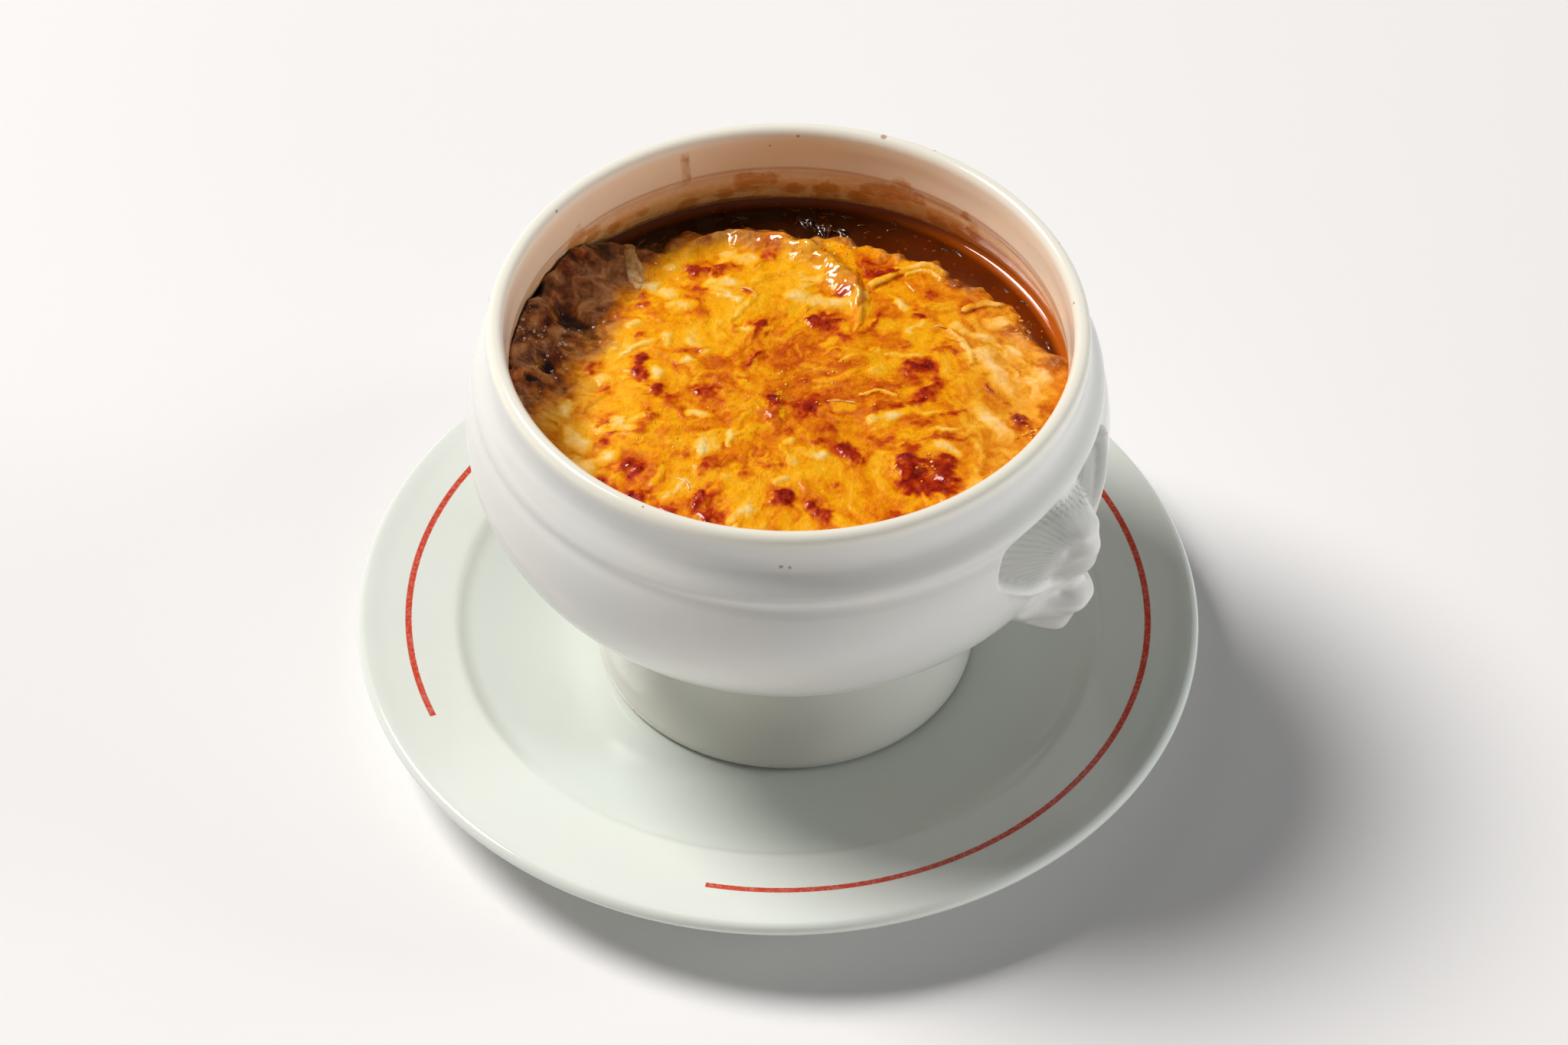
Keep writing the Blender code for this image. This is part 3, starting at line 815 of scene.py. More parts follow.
SCORCHES = [
    (12.0, 15.0, 2.2, 1.3, 0), (9.0, 15.4, 3.0, 0.7, -6), (17.8, 19.0, 3.2, 0.9, 62),
    (32.3, 12.3, 2.6, 1.0, 0), (24.0, 12.6, 1.6, 0.9, 0), (10.7, 28.0, 1.3, 1.1, 0),
    (30.3, 28.7, 1.3, 1.9, 0), (-13.5, 36.2, 2.0, 1.3, 0), (-18.7, 29.3, 1.7, 0.9, 0),
    (-9.0, 28.2, 1.4, 1.3, 0), (-4.0, 39.7, 1.3, 1.0, 0), (-30.7, 25.7, 1.1, 2.2, 0),
    (-31.2, 14.8, 1.8, 1.3, 0), (-11.8, 17.3, 0.9, 2.2, 0), (-19.5, 10.0, 2.8, 0.9, 4),
    (35.3, 33.3, 2.4, 1.5, 0), (38.6, 26.4, 2.8, 0.7, 22), (-28.3, -10.0, 0.9, 3.2, -12),
    (-21.5, -9.7, 1.0, 0.9, 0), (-3.0, -8.2, 1.8, 3.6, 0), (9.2, 6.7, 2.4, 0.5, 20),
    (3.0, 2.0, 1.1, 0.8, 0), (30.4, 2.4, 0.9, 2.0, 0), (33.0, -7.0, 3.4, 0.7, 25),
    (27.7, -10.4, 1.6, 1.0, 0), (32.5, -14.2, 6.4, 0.9, 2), (6.0, -16.3, 1.3, 1.1, 0),
    (8.5, -12.5, 0.9, 1.7, 0), (25.0, -17.6, 2.2, 1.2, 0), (28.0, -25.3, 3.4, 2.0, 0),
    (20.0, -16.0, 1.8, 1.2, 0), (9.5, -28.7, 0.7, 0.9, 0), (-2.0, -23.0, 1.7, 0.9, 0),
    (-9.5, -25.8, 1.1, 1.0, 0), (-37.7, -1.0, 1.6, 0.9, 0), (-37.8, -11.0, 1.7, 0.8, 36),
    (-37.0, -15.5, 1.5, 1.2, 0), (-20.7, -18.5, 1.9, 2.1, 0), (-15.0, -22.5, 2.2, 1.5, 0),
    (28.2, -34.0, 1.7, 0.9, 30), (41.5, 0.2, 0.7, 3.2, 20), (-41.0, 5.5, 2.6, 1.6, 60),
    (-45.6, -3.6, 1.8, 1.2, 0), (1.0, -13.8, 1.4, 0.8, -20)]
PALE_SHREDS = [
    (12.8, 47.6, 2.9, 1.6, -35), (1.6, 27.0, 3.8, 2.2, 4), (8.6, 25.2, 6.4, 2.2, -2),
    (-22.5, 24.0, 4.4, 2.3, -6), (-24.7, 28.0, 3.6, 2.2, 0), (-13.5, 31.3, 4.4, 1.6, -8),
    (-9.5, 38.4, 3.2, 2.2, 0), (-13.0, 40.2, 2.2, 1.8, 0), (-25.3, 13.0, 1.4, 3.4, 0),
    (-32.0, 18.3, 1.8, 1.1, 0), (-29.5, 31.0, 3.2, 1.9, 0), (-25.0, 36.4, 2.2, 1.3, 0),
    (23.6, 24.8, 4.8, 1.2, -55), (43.7, 21.3, 3.7, 2.3, 0), (40.0, 17.0, 3.3, 1.8, -10),
    (40.5, 11.0, 3.2, 2.6, 0), (43.5, 4.8, 8.4, 1.9, -62), (42.0, -8.8, 8.2, 2.5, -55),
    (53.0, 6.0, 2.8, 3.6, 10), (-27.3, 3.3, 1.5, 2.3, 0), (-21.0, 7.0, 1.8, 1.1, 0),
    (-18.5, -8.5, 3.5, 1.5, -12), (-17.2, -18.5, 3.2, 1.4, 72), (0.5, -16.3, 1.8, 1.2, 0),
    (6.5, -20.3, 2.1, 1.8, 0), (21.5, -8.5, 3.7, 1.4, 12), (17.2, -9.3, 2.2, 1.2, 0),
    (30.0, -7.3, 3.0, 0.9, 20), (32.0, -12.0, 3.6, 1.1, 4), (32.5, -17.3, 3.8, 1.6, -30),
    (-8.0, -35.5, 2.8, 2.4, 0), (-1.0, -27.2, 2.7, 1.2, 0), (-43.0, -15.4, 3.0, 4.4, 30),
    (-45.5, -6.0, 1.8, 3.6, 0), (-36.0, -20.5, 3.4, 2.2, 20), (-35.0, -11.0, 2.6, 1.6, 40),
    (-40.0, -23.0, 2.6, 3.0, 20), (-38.0, 1.6, 2.7, 1.8, 0), (-32.0, 10.8, 5.4, 1.0, 30),
    (12.0, 8.0, 2.0, 1.0, 30), (-12.0, -15.5, 1.2, 2.8, -10), (14.9, 26.6, 1.6, 2.6, 0),
    (35.6, 19.0, 2.8, 1.6, -30), (47.0, 13.0, 2.8, 1.4, -40)]
# Broader changes of colour: x, y, half length, half width, turn, and how brown
ZONES = [
    (-15, 16, 11, 8, 30, 0.24), (-11, 24, 7, 5, 0, 0.26), (-2, 32, 9, 6, 0, 0.28),
    (-8, -24, 7, 4, 0, 0.34), (4, -26, 6, 4, 0, 0.34), (-24, -28, 7, 4, 35, 0.30),
    (-33, -7, 7, 7, 0, 0.28), (-40, -16, 6, 9, 25, 0.34), (-30, -17, 6, 4, 0, 0.32),
    (6, 4, 14, 11, 20, 0.60), (2, -10, 12, 6, 0, 0.58), (19, 13, 7, 6, 0, 0.52),
    (40, -20, 7, 4, 40, 0.56), (21, -29, 7, 3, 10, 0.58), (54, -5, 3, 8, 0, 0.58),
    (15, -26, 5, 4, 0, 0.50), (20, 42.5, 5, 3, -20, 0.46), (-22, 19, 5, 4, 0, 0.34),
    (14, -12, 7, 4, 0, 0.44), (28, 32, 6, 5, 0, 0.44), (-8, -12, 6, 5, 0, 0.52),
    (36, 4, 5, 7, 0, 0.42)]
# Nearly black hollows in the soaked cheese: x, y, half length, half width, turn
HOLLOWS = [
    (-53.0, 22.5, 4.2, 3.4, 20), (-44.6, 18.0, 4.2, 3.2, 0), (-41.6, 14.6, 3.0, 2.0, -30),
    (-50.5, 3.0, 2.6, 2.0, 0), (-52.7, -2.8, 1.6, 1.4, 0), (-46.2, 10.0, 2.0, 1.3, 0),
    (-48.6, 36.0, 4.2, 2.6, 35), (-40.0, 37.5, 2.4, 3.4, 0), (-27.5, 43.5, 3.4, 2.4, 20)]
# Thick shreds that lie in loops: half width, then x, y along the shred
ROPES = [
    (1.25, (17.0, 30.5), (20.0, 32.8), (23.0, 34.8), (26.2, 37.2), (29.5, 38.4), (32.4, 37.4),
     (34.6, 34.6), (35.0, 32.8)),
    (0.75, (25.0, 34.4), (27.4, 36.0), (29.8, 36.0), (31.6, 34.2)),
    (1.05, (36.6, 24.4), (38.6, 26.2), (41.2, 27.4), (44.0, 27.0)),
    (0.80, (33.4, 17.6), (36.0, 15.0), (37.6, 11.6), (38.2, 8.4)),
    (0.55, (14.6, -2.2), (18.4, -1.4), (22.0, -2.6))]
# How far the cap reaches: azimuth in degrees, radius
SHORE = (
    (0.0, 59.2), (9.0, 59.2), (13.0, 58.6), (17.0, 57.3), (21.0, 56.3), (31.0, 55.6), (40.0, 54.4),
    (46.0, 52.8), (51.0, 53.4), (58.0, 50.6), (64.0, 50.2), (70.0, 51.4), (76.0, 51.6),
    (83.0, 50.4), (89.0, 49.6), (95.0, 53.6), (101.0, 53.8), (107.0, 52.8), (113.0, 54.4),
    (119.0, 55.8), (127.0, 57.4), (136.0, 57.9), (144.0, 57.5), (190.0, 57.5), (206.0, 58.6),
    (216.0, 59.2), (360.0, 59.2))
# The raised fold of skin: x, y of its top
FOLD = (
    (-24.0, 38.5), (-22.0, 41.5), (-19.0, 44.8), (-13.0, 46.2), (-6.0, 45.2), (0.0, 44.2),
    (5.0, 40.8), (8.5, 36.8), (11.5, 33.0), (14.0, 29.4), (15.2, 26.0))
# A blister that has burst: x, y, half length, half width, turn
BURST = (28.0, -25.2, 3.0, 1.9, -10)


# Teeth of the cap's torn edge: depth, waves round the bowl, start
TEETH = ((0.6, 13.0, 1.0), (0.5, 29.0, 0.0), (0.45, 47.0, 2.0), (0.35, 83.0, 0.5))
# Where the soaked part begins: places y, and x at each of them
SOAK_LINE = ((-30, -14, -8, -2, 5, 10, 18, 24, 32, 38, 44, 50),
             (-62, -54, -49.5, -47, -43, -41, -38.5, -36.5, -31, -29, -23, -18))


def cap_edge(azimuth):
    """Outline of the cap: at the wall in front, and short of it at the back and left."""
    reach = np.interp(np.degrees(azimuth) % 360.0, *np.array(SHORE).T)
    ragged = sum(depth * np.sin(waves * azimuth + start) for depth, waves, start in TEETH)
    return reach + ragged * smooth(58.8, 55.5, reach)


def patch(x, y, spot):
    """1 in the middle of an oval place and 0 outside it."""
    middle_x, middle_y, long, wide, degrees = spot
    c, s = math.cos(math.radians(degrees)), math.sin(math.radians(degrees))
    along, across = (x - middle_x) * c + (y - middle_y) * s, (y - middle_y) * c - (x - middle_x) * s
    return np.maximum(0.0, 1.0 - (along / long) ** 2 - (across / wide) ** 2)


def rope(x, y, wide, places):
    """1 along a line of places and 0 further off than wide."""
    nearest = np.full(np.shape(x), np.inf)
    line = smooth_line(places, 0.8)
    for (ax, ay), (bx, by) in zip(line, line[1:]):
        run, rise = bx - ax, by - ay
        along = np.clip(((x - ax) * run + (y - ay) * rise) / (run ** 2 + rise ** 2), 0.0, 1.0)
        nearest = np.minimum(nearest, np.hypot(x - ax - along * run, y - ay - along * rise))
    return np.maximum(0.0, 1.0 - (nearest / wide) ** 2)


def flow(x, y):
    """Which way the shreds lie, in radians.

    Outwards from the middle, but across at the back and at the right.
    """
    right = 2.6 * smooth(24.0, 36.0, x) * smooth(30.0, 12.0, np.abs(y))
    top = 1.8 * smooth(18.0, 30.0, y) * smooth(34.0, 16.0, np.abs(x))
    across = [(1.0, np.arctan2(y, x + 4.0)), (right, -1.15), (top, 0.05)]
    turn = 0.5 * np.arctan2(sum(w * np.sin(2 * a) for w, a in across),
                            sum(w * np.cos(2 * a) for w, a in across))
    return turn + 0.5 * noise(x, y, 17.0, 5)


def strew(count, seed, lengths, widths, shades):
    """Random strokes, one to a row.

    Each has x, y, half length, half width, direction, bend, lift, shade and strength.
    """
    dice = np.random.default_rng(seed)
    radius, azimuth = 58.0 * np.sqrt(dice.random(count)), dice.uniform(0, 2 * math.pi, count)
    x, y = radius * np.cos(azimuth), radius * np.sin(azimuth)
    turn = flow(x, y) + dice.normal(0.0, 0.40, count)
    return np.column_stack([x, y, dice.uniform(*lengths, count), dice.uniform(*widths, count), turn,
                            dice.normal(0.0, 0.05, count), dice.uniform(0.10, 0.42, count),
                            dice.choice(shades, count) + dice.normal(0.0, 0.02, count),
                            dice.uniform(0.35, 1.0, count)])


def shred_list(count, seed):
    """Melted shreds, and the finer strokes that mottle them."""
    shreds = strew(count, seed, (2.4, 5.6), (0.8, 1.7),
                   (-0.34, -0.26, -0.20, -0.14, -0.04, 0.06, 0.12))
    strokes = strew(5 * count, seed + 1, (0.7, 2.4), (0.28, 0.55), (-0.12, -0.06, 0.06, 0.13))
    strokes[:, 6] *= 0.25
    return np.vstack([shreds, strokes])


def zoned(x, y, warped):
    """How brown the cap is before any shred lies on it."""
    ground = (0.46 + 0.08 * smooth(26.0, 8.0, np.hypot(x, y))
              + 0.30 * layered(*warped, 8.0, 61, 5, 0.66))
    for *spot, brown in ZONES:
        body = patch(x + 2.0 * (warped[0] - x), y + 2.0 * (warped[1] - y), spot)
        ground = blend(ground, brown + 0.02 + 0.24 * layered(*warped, 5.0, 62, 4, 0.66),
                       0.70 * smooth(0.0, 0.9, body))
    return ground


def lay_shreds(x, y, warped, shreds):
    """Shade and lift of the melted shreds, the pale ones and the ropes."""
    ground = zoned(x, y, warped)
    shade, lift = ground.copy(), np.zeros_like(x)
    for sx, sy, long, wide, turn, bend, rise, change, strength in shreds:
        near = np.abs(x - sx) + np.abs(y - sy) < 1.5 * (long + wide) + 2.0
        dx, dy = warped[0][near] - sx, warped[1][near] - sy
        along = dx * math.cos(turn) + dy * math.sin(turn)
        across = dy * math.cos(turn) - dx * math.sin(turn) - bend * along ** 2
        gap = np.hypot(np.maximum(np.abs(along) - 0.6 * long, 0.0) * 0.6, across) / wide
        body = np.clip(1.0 - gap ** 2, 0.0, 1.0)
        cover = smooth(0.0, 1.0, body)
        lift[near] = np.maximum(lift[near] * (1.0 - 0.4 * body), rise * cover)
        shade[near] = blend(shade[near], ground[near] + change, cover * strength)
    veins = smooth(0.10, 0.0, np.abs(layered(*warped, 6.0, 91, 4, 0.62)))
    shade += (0.09 * veins * smooth(-0.1, 0.5, noise(x, y, 13.0, 12))
              + 0.08 * layered(x, y, 1.6, 93, 3, 0.7))
    for spot in PALE_SHREDS:
        body = patch(0.4 * x + 0.6 * warped[0] + 0.5 * noise(x, y, 1.5, 45),
                     0.4 * y + 0.6 * warped[1] + 0.5 * noise(x, y, 1.5, 48), spot)
        cover = smooth(0.0, 1.0, body) ** 0.7 * (0.80 + 0.2 * noise(x, y, 2.2, 47))
        shade = blend(shade, 0.05 + 0.12 * layered(x, y, 2.6, 46, 3), cover)
        lift = np.maximum(lift, 0.42 * smooth(0.0, 1.0, body))
    for wide, *places in ROPES:
        body = rope(0.6 * x + 0.4 * warped[0], 0.6 * y + 0.4 * warped[1],
                    wide * (1.0 + 0.25 * noise(x, y, 2.6, 49)), places)
        shade = blend(shade, 0.09 + 0.16 * layered(x, y, 2.2, 50, 3), 0.85 * smooth(0.0, 0.9, body))
        # Painted shade: each rope is browned along its edges, where it meets the cheese
        shade = shade + 0.20 * smooth(0.0, 0.12, body) * smooth(0.60, 0.20, body)
        lift = np.maximum(lift, 0.70 * wide * np.sqrt(body))
    return shade, lift


def blister(x, y, shade, crumbs):
    """The shade once it is browned, how charred it is, and the swelling of the blisters."""
    torn = shaken(x, y, 15, (0.9, 2.3), (0.6, 1.1))
    char, swell = np.zeros_like(x), np.zeros_like(x)
    for spots, depth in ((BLISTERS, 1.0), (SCORCHES, 0.50)):
        for middle_x, middle_y, long, wide, degrees in spots:
            body = patch(*torn, (middle_x, middle_y, long, wide, degrees))
            halo = patch(*torn, (middle_x, middle_y, long + 2.2, wide + 1.8, degrees))
            rough = body + 0.55 * (body > 0) * crumbs
            char = np.maximum(char, depth * smooth(0.0, 0.75, rough))
            shade = shade + 0.24 * depth * smooth(0.0, 0.9, halo) * (0.8 + 0.9 * crumbs)
            high = min(0.9, 0.22 * wide + 0.15)
            swell = np.maximum(swell, depth * np.sqrt(body) * high * (0.8 + 0.5 * crumbs))
    shade = blend(shade, 0.86 + 0.26 * crumbs, char)
    return shade, char, swell - 0.7 * smooth(0.0, 0.8, patch(x, y, BURST))


def folded(x, y):
    """How high the fold of skin stands, from 0 to 1, and how far off its top is."""
    fold_x, fold_y = np.array(FOLD).T
    steep = (np.interp(x + 1.0, fold_x, fold_y) - np.interp(x - 1.0, fold_x, fold_y)) / 2.0
    gap = (y + 1.1 * noise(x, y, 4.0, 33) - np.interp(x, fold_x, fold_y)) / np.hypot(1.0, steep)
    along = smooth(-25.5, -17.0, x) * smooth(17.0, 13.5, x)
    along = along * (0.62 + 0.38 * smooth(-16.0, 0.0, x))
    fold = np.exp(-(gap / np.where(gap > 0.0, 1.9, 3.0)) ** 2) * along
    return fold * (1.0 + 0.25 * noise(x, y, 3.0, 34)), gap


def cap_shape(x, y, shreds):
    """Height above the broth, and the paint of the cap, at points from the bowl's axis."""
    radius, azimuth = np.hypot(x, y), np.arctan2(y, x)
    degrees = np.degrees(azimuth)
    share = radius / cap_edge(azimuth)
    ragged = layered(x, y, 8.0, 21, 5, 0.62)
    crumbs = layered(x, y, 1.7, 14, 3, 0.75)
    warped = shaken(x, y, 41, (1.0, 4.5), (0.45, 1.8))
    shade, lift = lay_shreds(x, y, warped, shreds)
    shade, char, swell = blister(x, y, shade, crumbs)
    fold, gap = folded(x, y)

    # Soaked at the left, along the open broth and behind the fold
    soak = smooth(4.6, -5.6, x - np.interp(y, *SOAK_LINE) + 6.5 * ragged)
    shore = smooth(0.86, 0.975, share + 0.13 * layered(x, y, 5.0, 77, 4, 0.6))
    back = smooth(0.0, 14.0, degrees) * smooth(178.0, 140.0, degrees)
    soak = np.maximum(soak, 0.70 * shore * back)
    behind = smooth(0.6, 3.2, gap + 1.0 * ragged) * smooth(-26.0, -20.0, x) * smooth(9.0, 3.0, x)
    soak = np.maximum(soak, 0.75 * behind)
    hollow = np.zeros_like(x)
    for spot in HOLLOWS:
        body = patch(warped[0] + 0.8 * crumbs, warped[1], spot)
        hollow = np.maximum(hollow, smooth(0.0, 0.8, body))

    height = 1.0 + 2.2 * smooth(56.0, 26.0, radius) + 0.60 * layered(x, y, 11.0, 31, 3)
    height = height + 2.5 * fold + lift * (1.0 - 0.6 * soak) + swell
    height += 0.14 * layered(x, y, 2.2, 51, 3, 0.6) * (1.0 + 1.2 * soak)
    height += soak * (1.2 * layered(x, y, 4.8, 71, 3, 0.55) - 0.1) - 0.70 * hollow * soak
    # Heaped against the wall at the left, and ending at the wall or at the broth
    heap = smooth(124.0, 144.0, degrees % 360.0) * smooth(222.0, 180.0, degrees % 360.0)
    height = height + heap * (7.8 + 1.0 * ragged) * smooth(41.0, 57.8, radius) ** 1.4
    touching = np.maximum(smooth(58.0, 59.1, cap_edge(azimuth)), smooth(0.05, 0.3, heap))
    end = 1.6 * touching - 1.0 + (height - 1.6) * (heap > 0.05) * touching
    height = blend(height, end, smooth(0.915 + 0.065 * touching, 1.0, share))

    skin = smooth(0.10, 0.6, fold) * (0.75 + 0.4 * layered(x, y, 3.0, 35, 3))
    skin = skin * (1.0 - 0.70 * smooth(-12.0, -3.0, x))
    film = layered(x, y, 7.0, 72, 5, 0.66) + 0.4 * smooth(-50.0, -36.0, x)
    film = soak * smooth(-0.10, 0.30, film) * (1.0 - hollow)
    tan = smooth(31.0, 46.0, np.abs(x + 2.0) + 5.0 * layered(x, y, 9.0, 25, 4))
    tan = np.maximum(tan, 0.8 * smooth(48.0, 56.0, radius + 3.0 * layered(x, y, 6.0, 26, 3)))
    gloss = np.maximum(np.maximum(smooth(0.08, 0.45, fold), soak), 0.7 * char)
    return height, {"browning": shade, "soaked": soak, "skin": skin, "tan": tan,
                    "gloss": gloss, "film": film, "hollow": hollow * soak}


def round_grid(name, cells):
    """A square grid primitive drawn into a round one, radius 1."""
    clear_selection()
    bpy.ops.mesh.primitive_grid_add(x_subdivisions=cells, y_subdivisions=cells, size=2.0 * MM,
                                    location=(0.0, 0.0, 0.0))
    piece = named(name)
    points = points_of(piece)
    a, b = points[:, 0], points[:, 1]
    wide = np.abs(a) >= np.abs(b)
    reach = np.where(wide, a, b)
    ratio = np.where(wide, b, a) / np.where(reach == 0.0, 1.0, reach) * math.pi / 4.0
    turn = np.where(wide, ratio, math.pi / 2.0 - ratio)
    points[:, 0], points[:, 1] = reach * np.cos(turn), reach * np.sin(turn)
    place_points(piece, points)
    return piece


def drop_skirt(piece, steps, floor):
    """Extrudes the open edge of a sheet down and inwards, and closes it flat below."""
    edit(piece)
    bpy.ops.mesh.select_all(action="DESELECT")
    bpy.ops.mesh.select_non_manifold(extend=False, use_wire=False, use_boundary=True,
                                     use_multi_face=False, use_non_contiguous=False,
                                     use_verts=False)
    for down, shrink in steps:
        bpy.ops.mesh.extrude_region_move(TRANSFORM_OT_translate={"value": (0.0, 0.0, -down * MM)})
        bpy.ops.transform.resize(value=(shrink, shrink, 1.0))
    bpy.ops.object.mode_set(mode="OBJECT")
    ring = values_of(piece.data.vertices, "select", 1, bool)[:, 0]
    points = points_of(piece)
    points[ring, 2] = floor
    place_points(piece, points)
    bpy.ops.object.mode_set(mode="EDIT")
    bpy.ops.mesh.edge_face_add()
    bpy.ops.object.mode_set(mode="OBJECT")


# The cap's side: how far down and how much narrower at each step, and its depth
SKIRT = ((0.8, 0.99), (1.4, 0.985), (1.6, 0.9))
CAP_DEPTH = 4.0


class SOUP_OT_cheese(bpy.types.Operator):
    """Lays the browned cheese cap on the broth"""
    bl_idname = "soup.cheese"
    bl_label = "Cheese"

    def execute(self, context):
        wish = context.scene.soup_cheese
        piece = round_grid("cheese_cap", CAP_CELLS)
        points = points_of(piece)
        edge = cap_edge(np.arctan2(points[:, 1], points[:, 0]))
        x, y = points[:, 0] * edge, points[:, 1] * edge
        height, coats = cap_shape(x, y, shred_list(wish.shreds, wish.seed))
        place_points(piece, np.column_stack([AXIS_X + x, AXIS_Y + y, LEVEL + height]))
        for name, values in coats.items():
            paint(piece, name, values)
        drop_skirt(piece, SKIRT, LEVEL - CAP_DEPTH)
        close_up(piece)
        soften(piece, 80.0)
        done(piece, cheese_look(wish), "browned_cheese", "cheese")
        return {"FINISHED"}


def cheese_look(wish):
    """Browned cheese, with a soaked part, a fold of skin and dark blisters."""
    look = Look("cheese_fine", Subsurface_Weight=0.15, Subsurface_Radius=(1.0, 0.40, 0.10),
                Subsurface_Scale=0.0012, IOR=1.45, Specular_IOR_Level=0.12, Coat_Roughness=0.05)
    browning, tan, soaked, gloss, skin, film, hollow = (
        look.painted(name)
        for name in ("browning", "tan", "soaked", "gloss", "skin", "film", "hollow"))
    fine = look.grain(0.9, 4.0, 0.65, 0.6)
    mid = look.grain(3.0, 5.0, 0.65, 0.9)
    soft = look.grain(4.4, 3.0, 0.5, 0.8) + (fine - 0.5) * 0.22
    toast = browning + (mid - 0.5) * 0.22 + (fine - 0.5) * 0.26
    look.colour = look.ramp(toast, [
        (0.02, wish.cream), (0.15, tone(254, 200, 94)), (0.28, tone(254, 182, 24)),
        (0.40, wish.gold), (0.54, wish.orange), (0.68, wish.amber), (0.80, tone(184, 46, 0)),
        (0.98, wish.char)])
    look.coat(tan * 0.80, look.ramp(toast, [
        (0.04, tone(252, 212, 144)), (0.20, tone(244, 188, 90)), (0.38, tone(230, 164, 46)),
        (0.56, tone(210, 128, 16)), (0.74, tone(168, 70, 2)), (0.98, wish.char)]))
    look.coat(skin * 0.80, look.ramp(mid + (fine - 0.5) * 0.4, [
        (0.34, tone(132, 66, 20)), (0.48, tone(186, 122, 60)), (0.64, tone(226, 180, 116))]))
    wet = look.ramp(soft, [(0.36, tone(66, 18, 1)), (0.47, tone(120, 52, 8)),
                           (0.57, wish.soaked), (0.68, tone(188, 118, 56))])
    veil = look.ramp(soft, [(0.36, tone(136, 80, 40)), (0.50, tone(184, 128, 78)),
                            (0.66, tone(224, 174, 120))])
    wet = look.mix(film * 0.58, wet, veil)
    wet = look.mix(hollow * 0.92, wet, tone(26, 6, 1))
    seep = soaked + (mid - 0.5) * 0.7 * soaked.ease(0.0, 0.15) * soaked.ease(1.0, 0.8)
    look.coat(seep.ease(0.02, 0.36) * 0.75,
              look.mix(soft.ease(0.42, 0.58), tone(190, 92, 8), tone(226, 152, 66)))
    look.coat(seep.ease(0.30, 0.92), wet)
    look.feed("Base Color", look.colour)
    look.feed("Roughness", 0.26 + 0.22 * fine - 0.26 * gloss - 0.12 * soaked)
    look.feed("Coat Weight", 0.14 + 0.86 * gloss)
    lumps = look.grain(2.8, 2.0, 0.5, 0.3) * soaked.over(skin)
    look.relief((mid, 0.30), (fine * (1.0 - soaked * 0.8), 0.20), (lumps, 1.10))
    return look


# ------------------------------------------------- strands and drops

def strand_model(rings=14, sides=8):
    """A straight round strand of radius 1 and length 2, to be copied and bent."""
    clear_selection()
    bpy.ops.mesh.primitive_cylinder_add(vertices=sides, radius=MM, depth=2.0 * MM,
                                        location=(0.0, 0.0, 0.0))
    model = bpy.context.object
    ends = points_of(model)[values_of(model.data.edges, "vertices", 2, int)]
    select_parts(model, "EDGE", np.abs(np.diff(ends[:, :, 2], axis=1)[:, 0]) > 1.0)
    bpy.ops.mesh.subdivide(number_cuts=rings)
    bpy.ops.object.mode_set(mode="OBJECT")
    return model


def drop_model():
    """A round drop of radius 1, to be copied."""
    clear_selection()
    bpy.ops.mesh.primitive_ico_sphere_add(subdivisions=2, radius=MM, location=(0.0, 0.0, 0.0))
    return bpy.context.object


def copies(name, model, shapes, degrees=80.0):
    """Copies the model once for each array of points, and joins the copies."""
    made = []
    for points in shapes:
        only(model)
        bpy.ops.object.duplicate(linked=False)
        place_points(bpy.context.object, points)
        made.append(bpy.context.object)
    clear_selection()
    for part in made:
        part.select_set(True)
    bpy.context.view_layer.objects.active = made[0]
    bpy.ops.object.join()
    made[0].name = made[0].data.name = name
    bpy.data.objects.remove(model)
    edit(made[0])
    bpy.ops.mesh.normals_make_consistent(inside=False)
    soften(made[0], degrees)
    return made[0]


def bent(model, path, wide, high):
    """The strand model's points laid along a path, thinner at its ends."""
    points = points_of(model)
    line = np.array(smooth_line(path, 0.4))
    length = np.concatenate([[0.0], np.cumsum(np.linalg.norm(np.diff(line, axis=0), axis=1))])
    whole = length[-1]
    share = (points[:, 2] + 1.0) / 2.0

    def at(distance):
        return np.column_stack([np.interp(distance, length, line[:, k]) for k in range(3)])

    ahead = at(np.minimum(share * whole + 0.3, whole)) - at(np.maximum(share * whole - 0.3, 0.0))
    ahead /= np.linalg.norm(ahead, axis=1)[:, None]
    side = np.cross(ahead, (0.0, 0.0, 1.0))
    side /= np.linalg.norm(side, axis=1)[:, None]
    over = np.cross(side, ahead)
    taper = np.sqrt(np.clip(1.0 - (2.0 * share - 1.0) ** 6, 0.04, 1.0))
    taper = taper * (1.0 + 0.22 * np.sin(11.0 * share + wide * 40))
    return at(share * whole) + (side * (points[:, 0] * wide * taper)[:, None]
                                + over * (points[:, 1] * high * taper)[:, None])


def on_cap(wish, x, y):
    """Height above the floor of the cap's top at places from the bowl's axis."""
    return LEVEL + cap_shape(x, y, shred_list(wish.shreds, wish.seed))[0]


def to_world(points):
    """Places from the bowl's axis, in the shared frame."""
    return np.asarray(points, float) + (AXIS_X, AXIS_Y, 0.0)


# Free strings of cheese: half width, half height, then places from the bowl's axis
STRINGS = [
    (0.24, 0.22, [(24.3, 32.6), (25.2, 31.0), (26.4, 29.2)]),
    (1.75, 0.60, [(-34.6, 44.6), (-34.2, 41.0), (-33.2, 37.0), (-32.2, 33.0), (-31.4, 29.6)]),
    (0.26, 0.22, [(7.8, -4.3), (10.5, -4.4), (14.0, -5.0)]),
    (0.22, 0.20, [(-10.6, 29.0), (-8.4, 28.4), (-6.4, 26.6)]),
    (0.20, 0.18, [(29.0, 17.6), (31.2, 18.8), (33.0, 18.2)]),
    (0.24, 0.20, [(-22.4, -26.4), (-20.4, -27.6), (-19.6, -29.8)])]


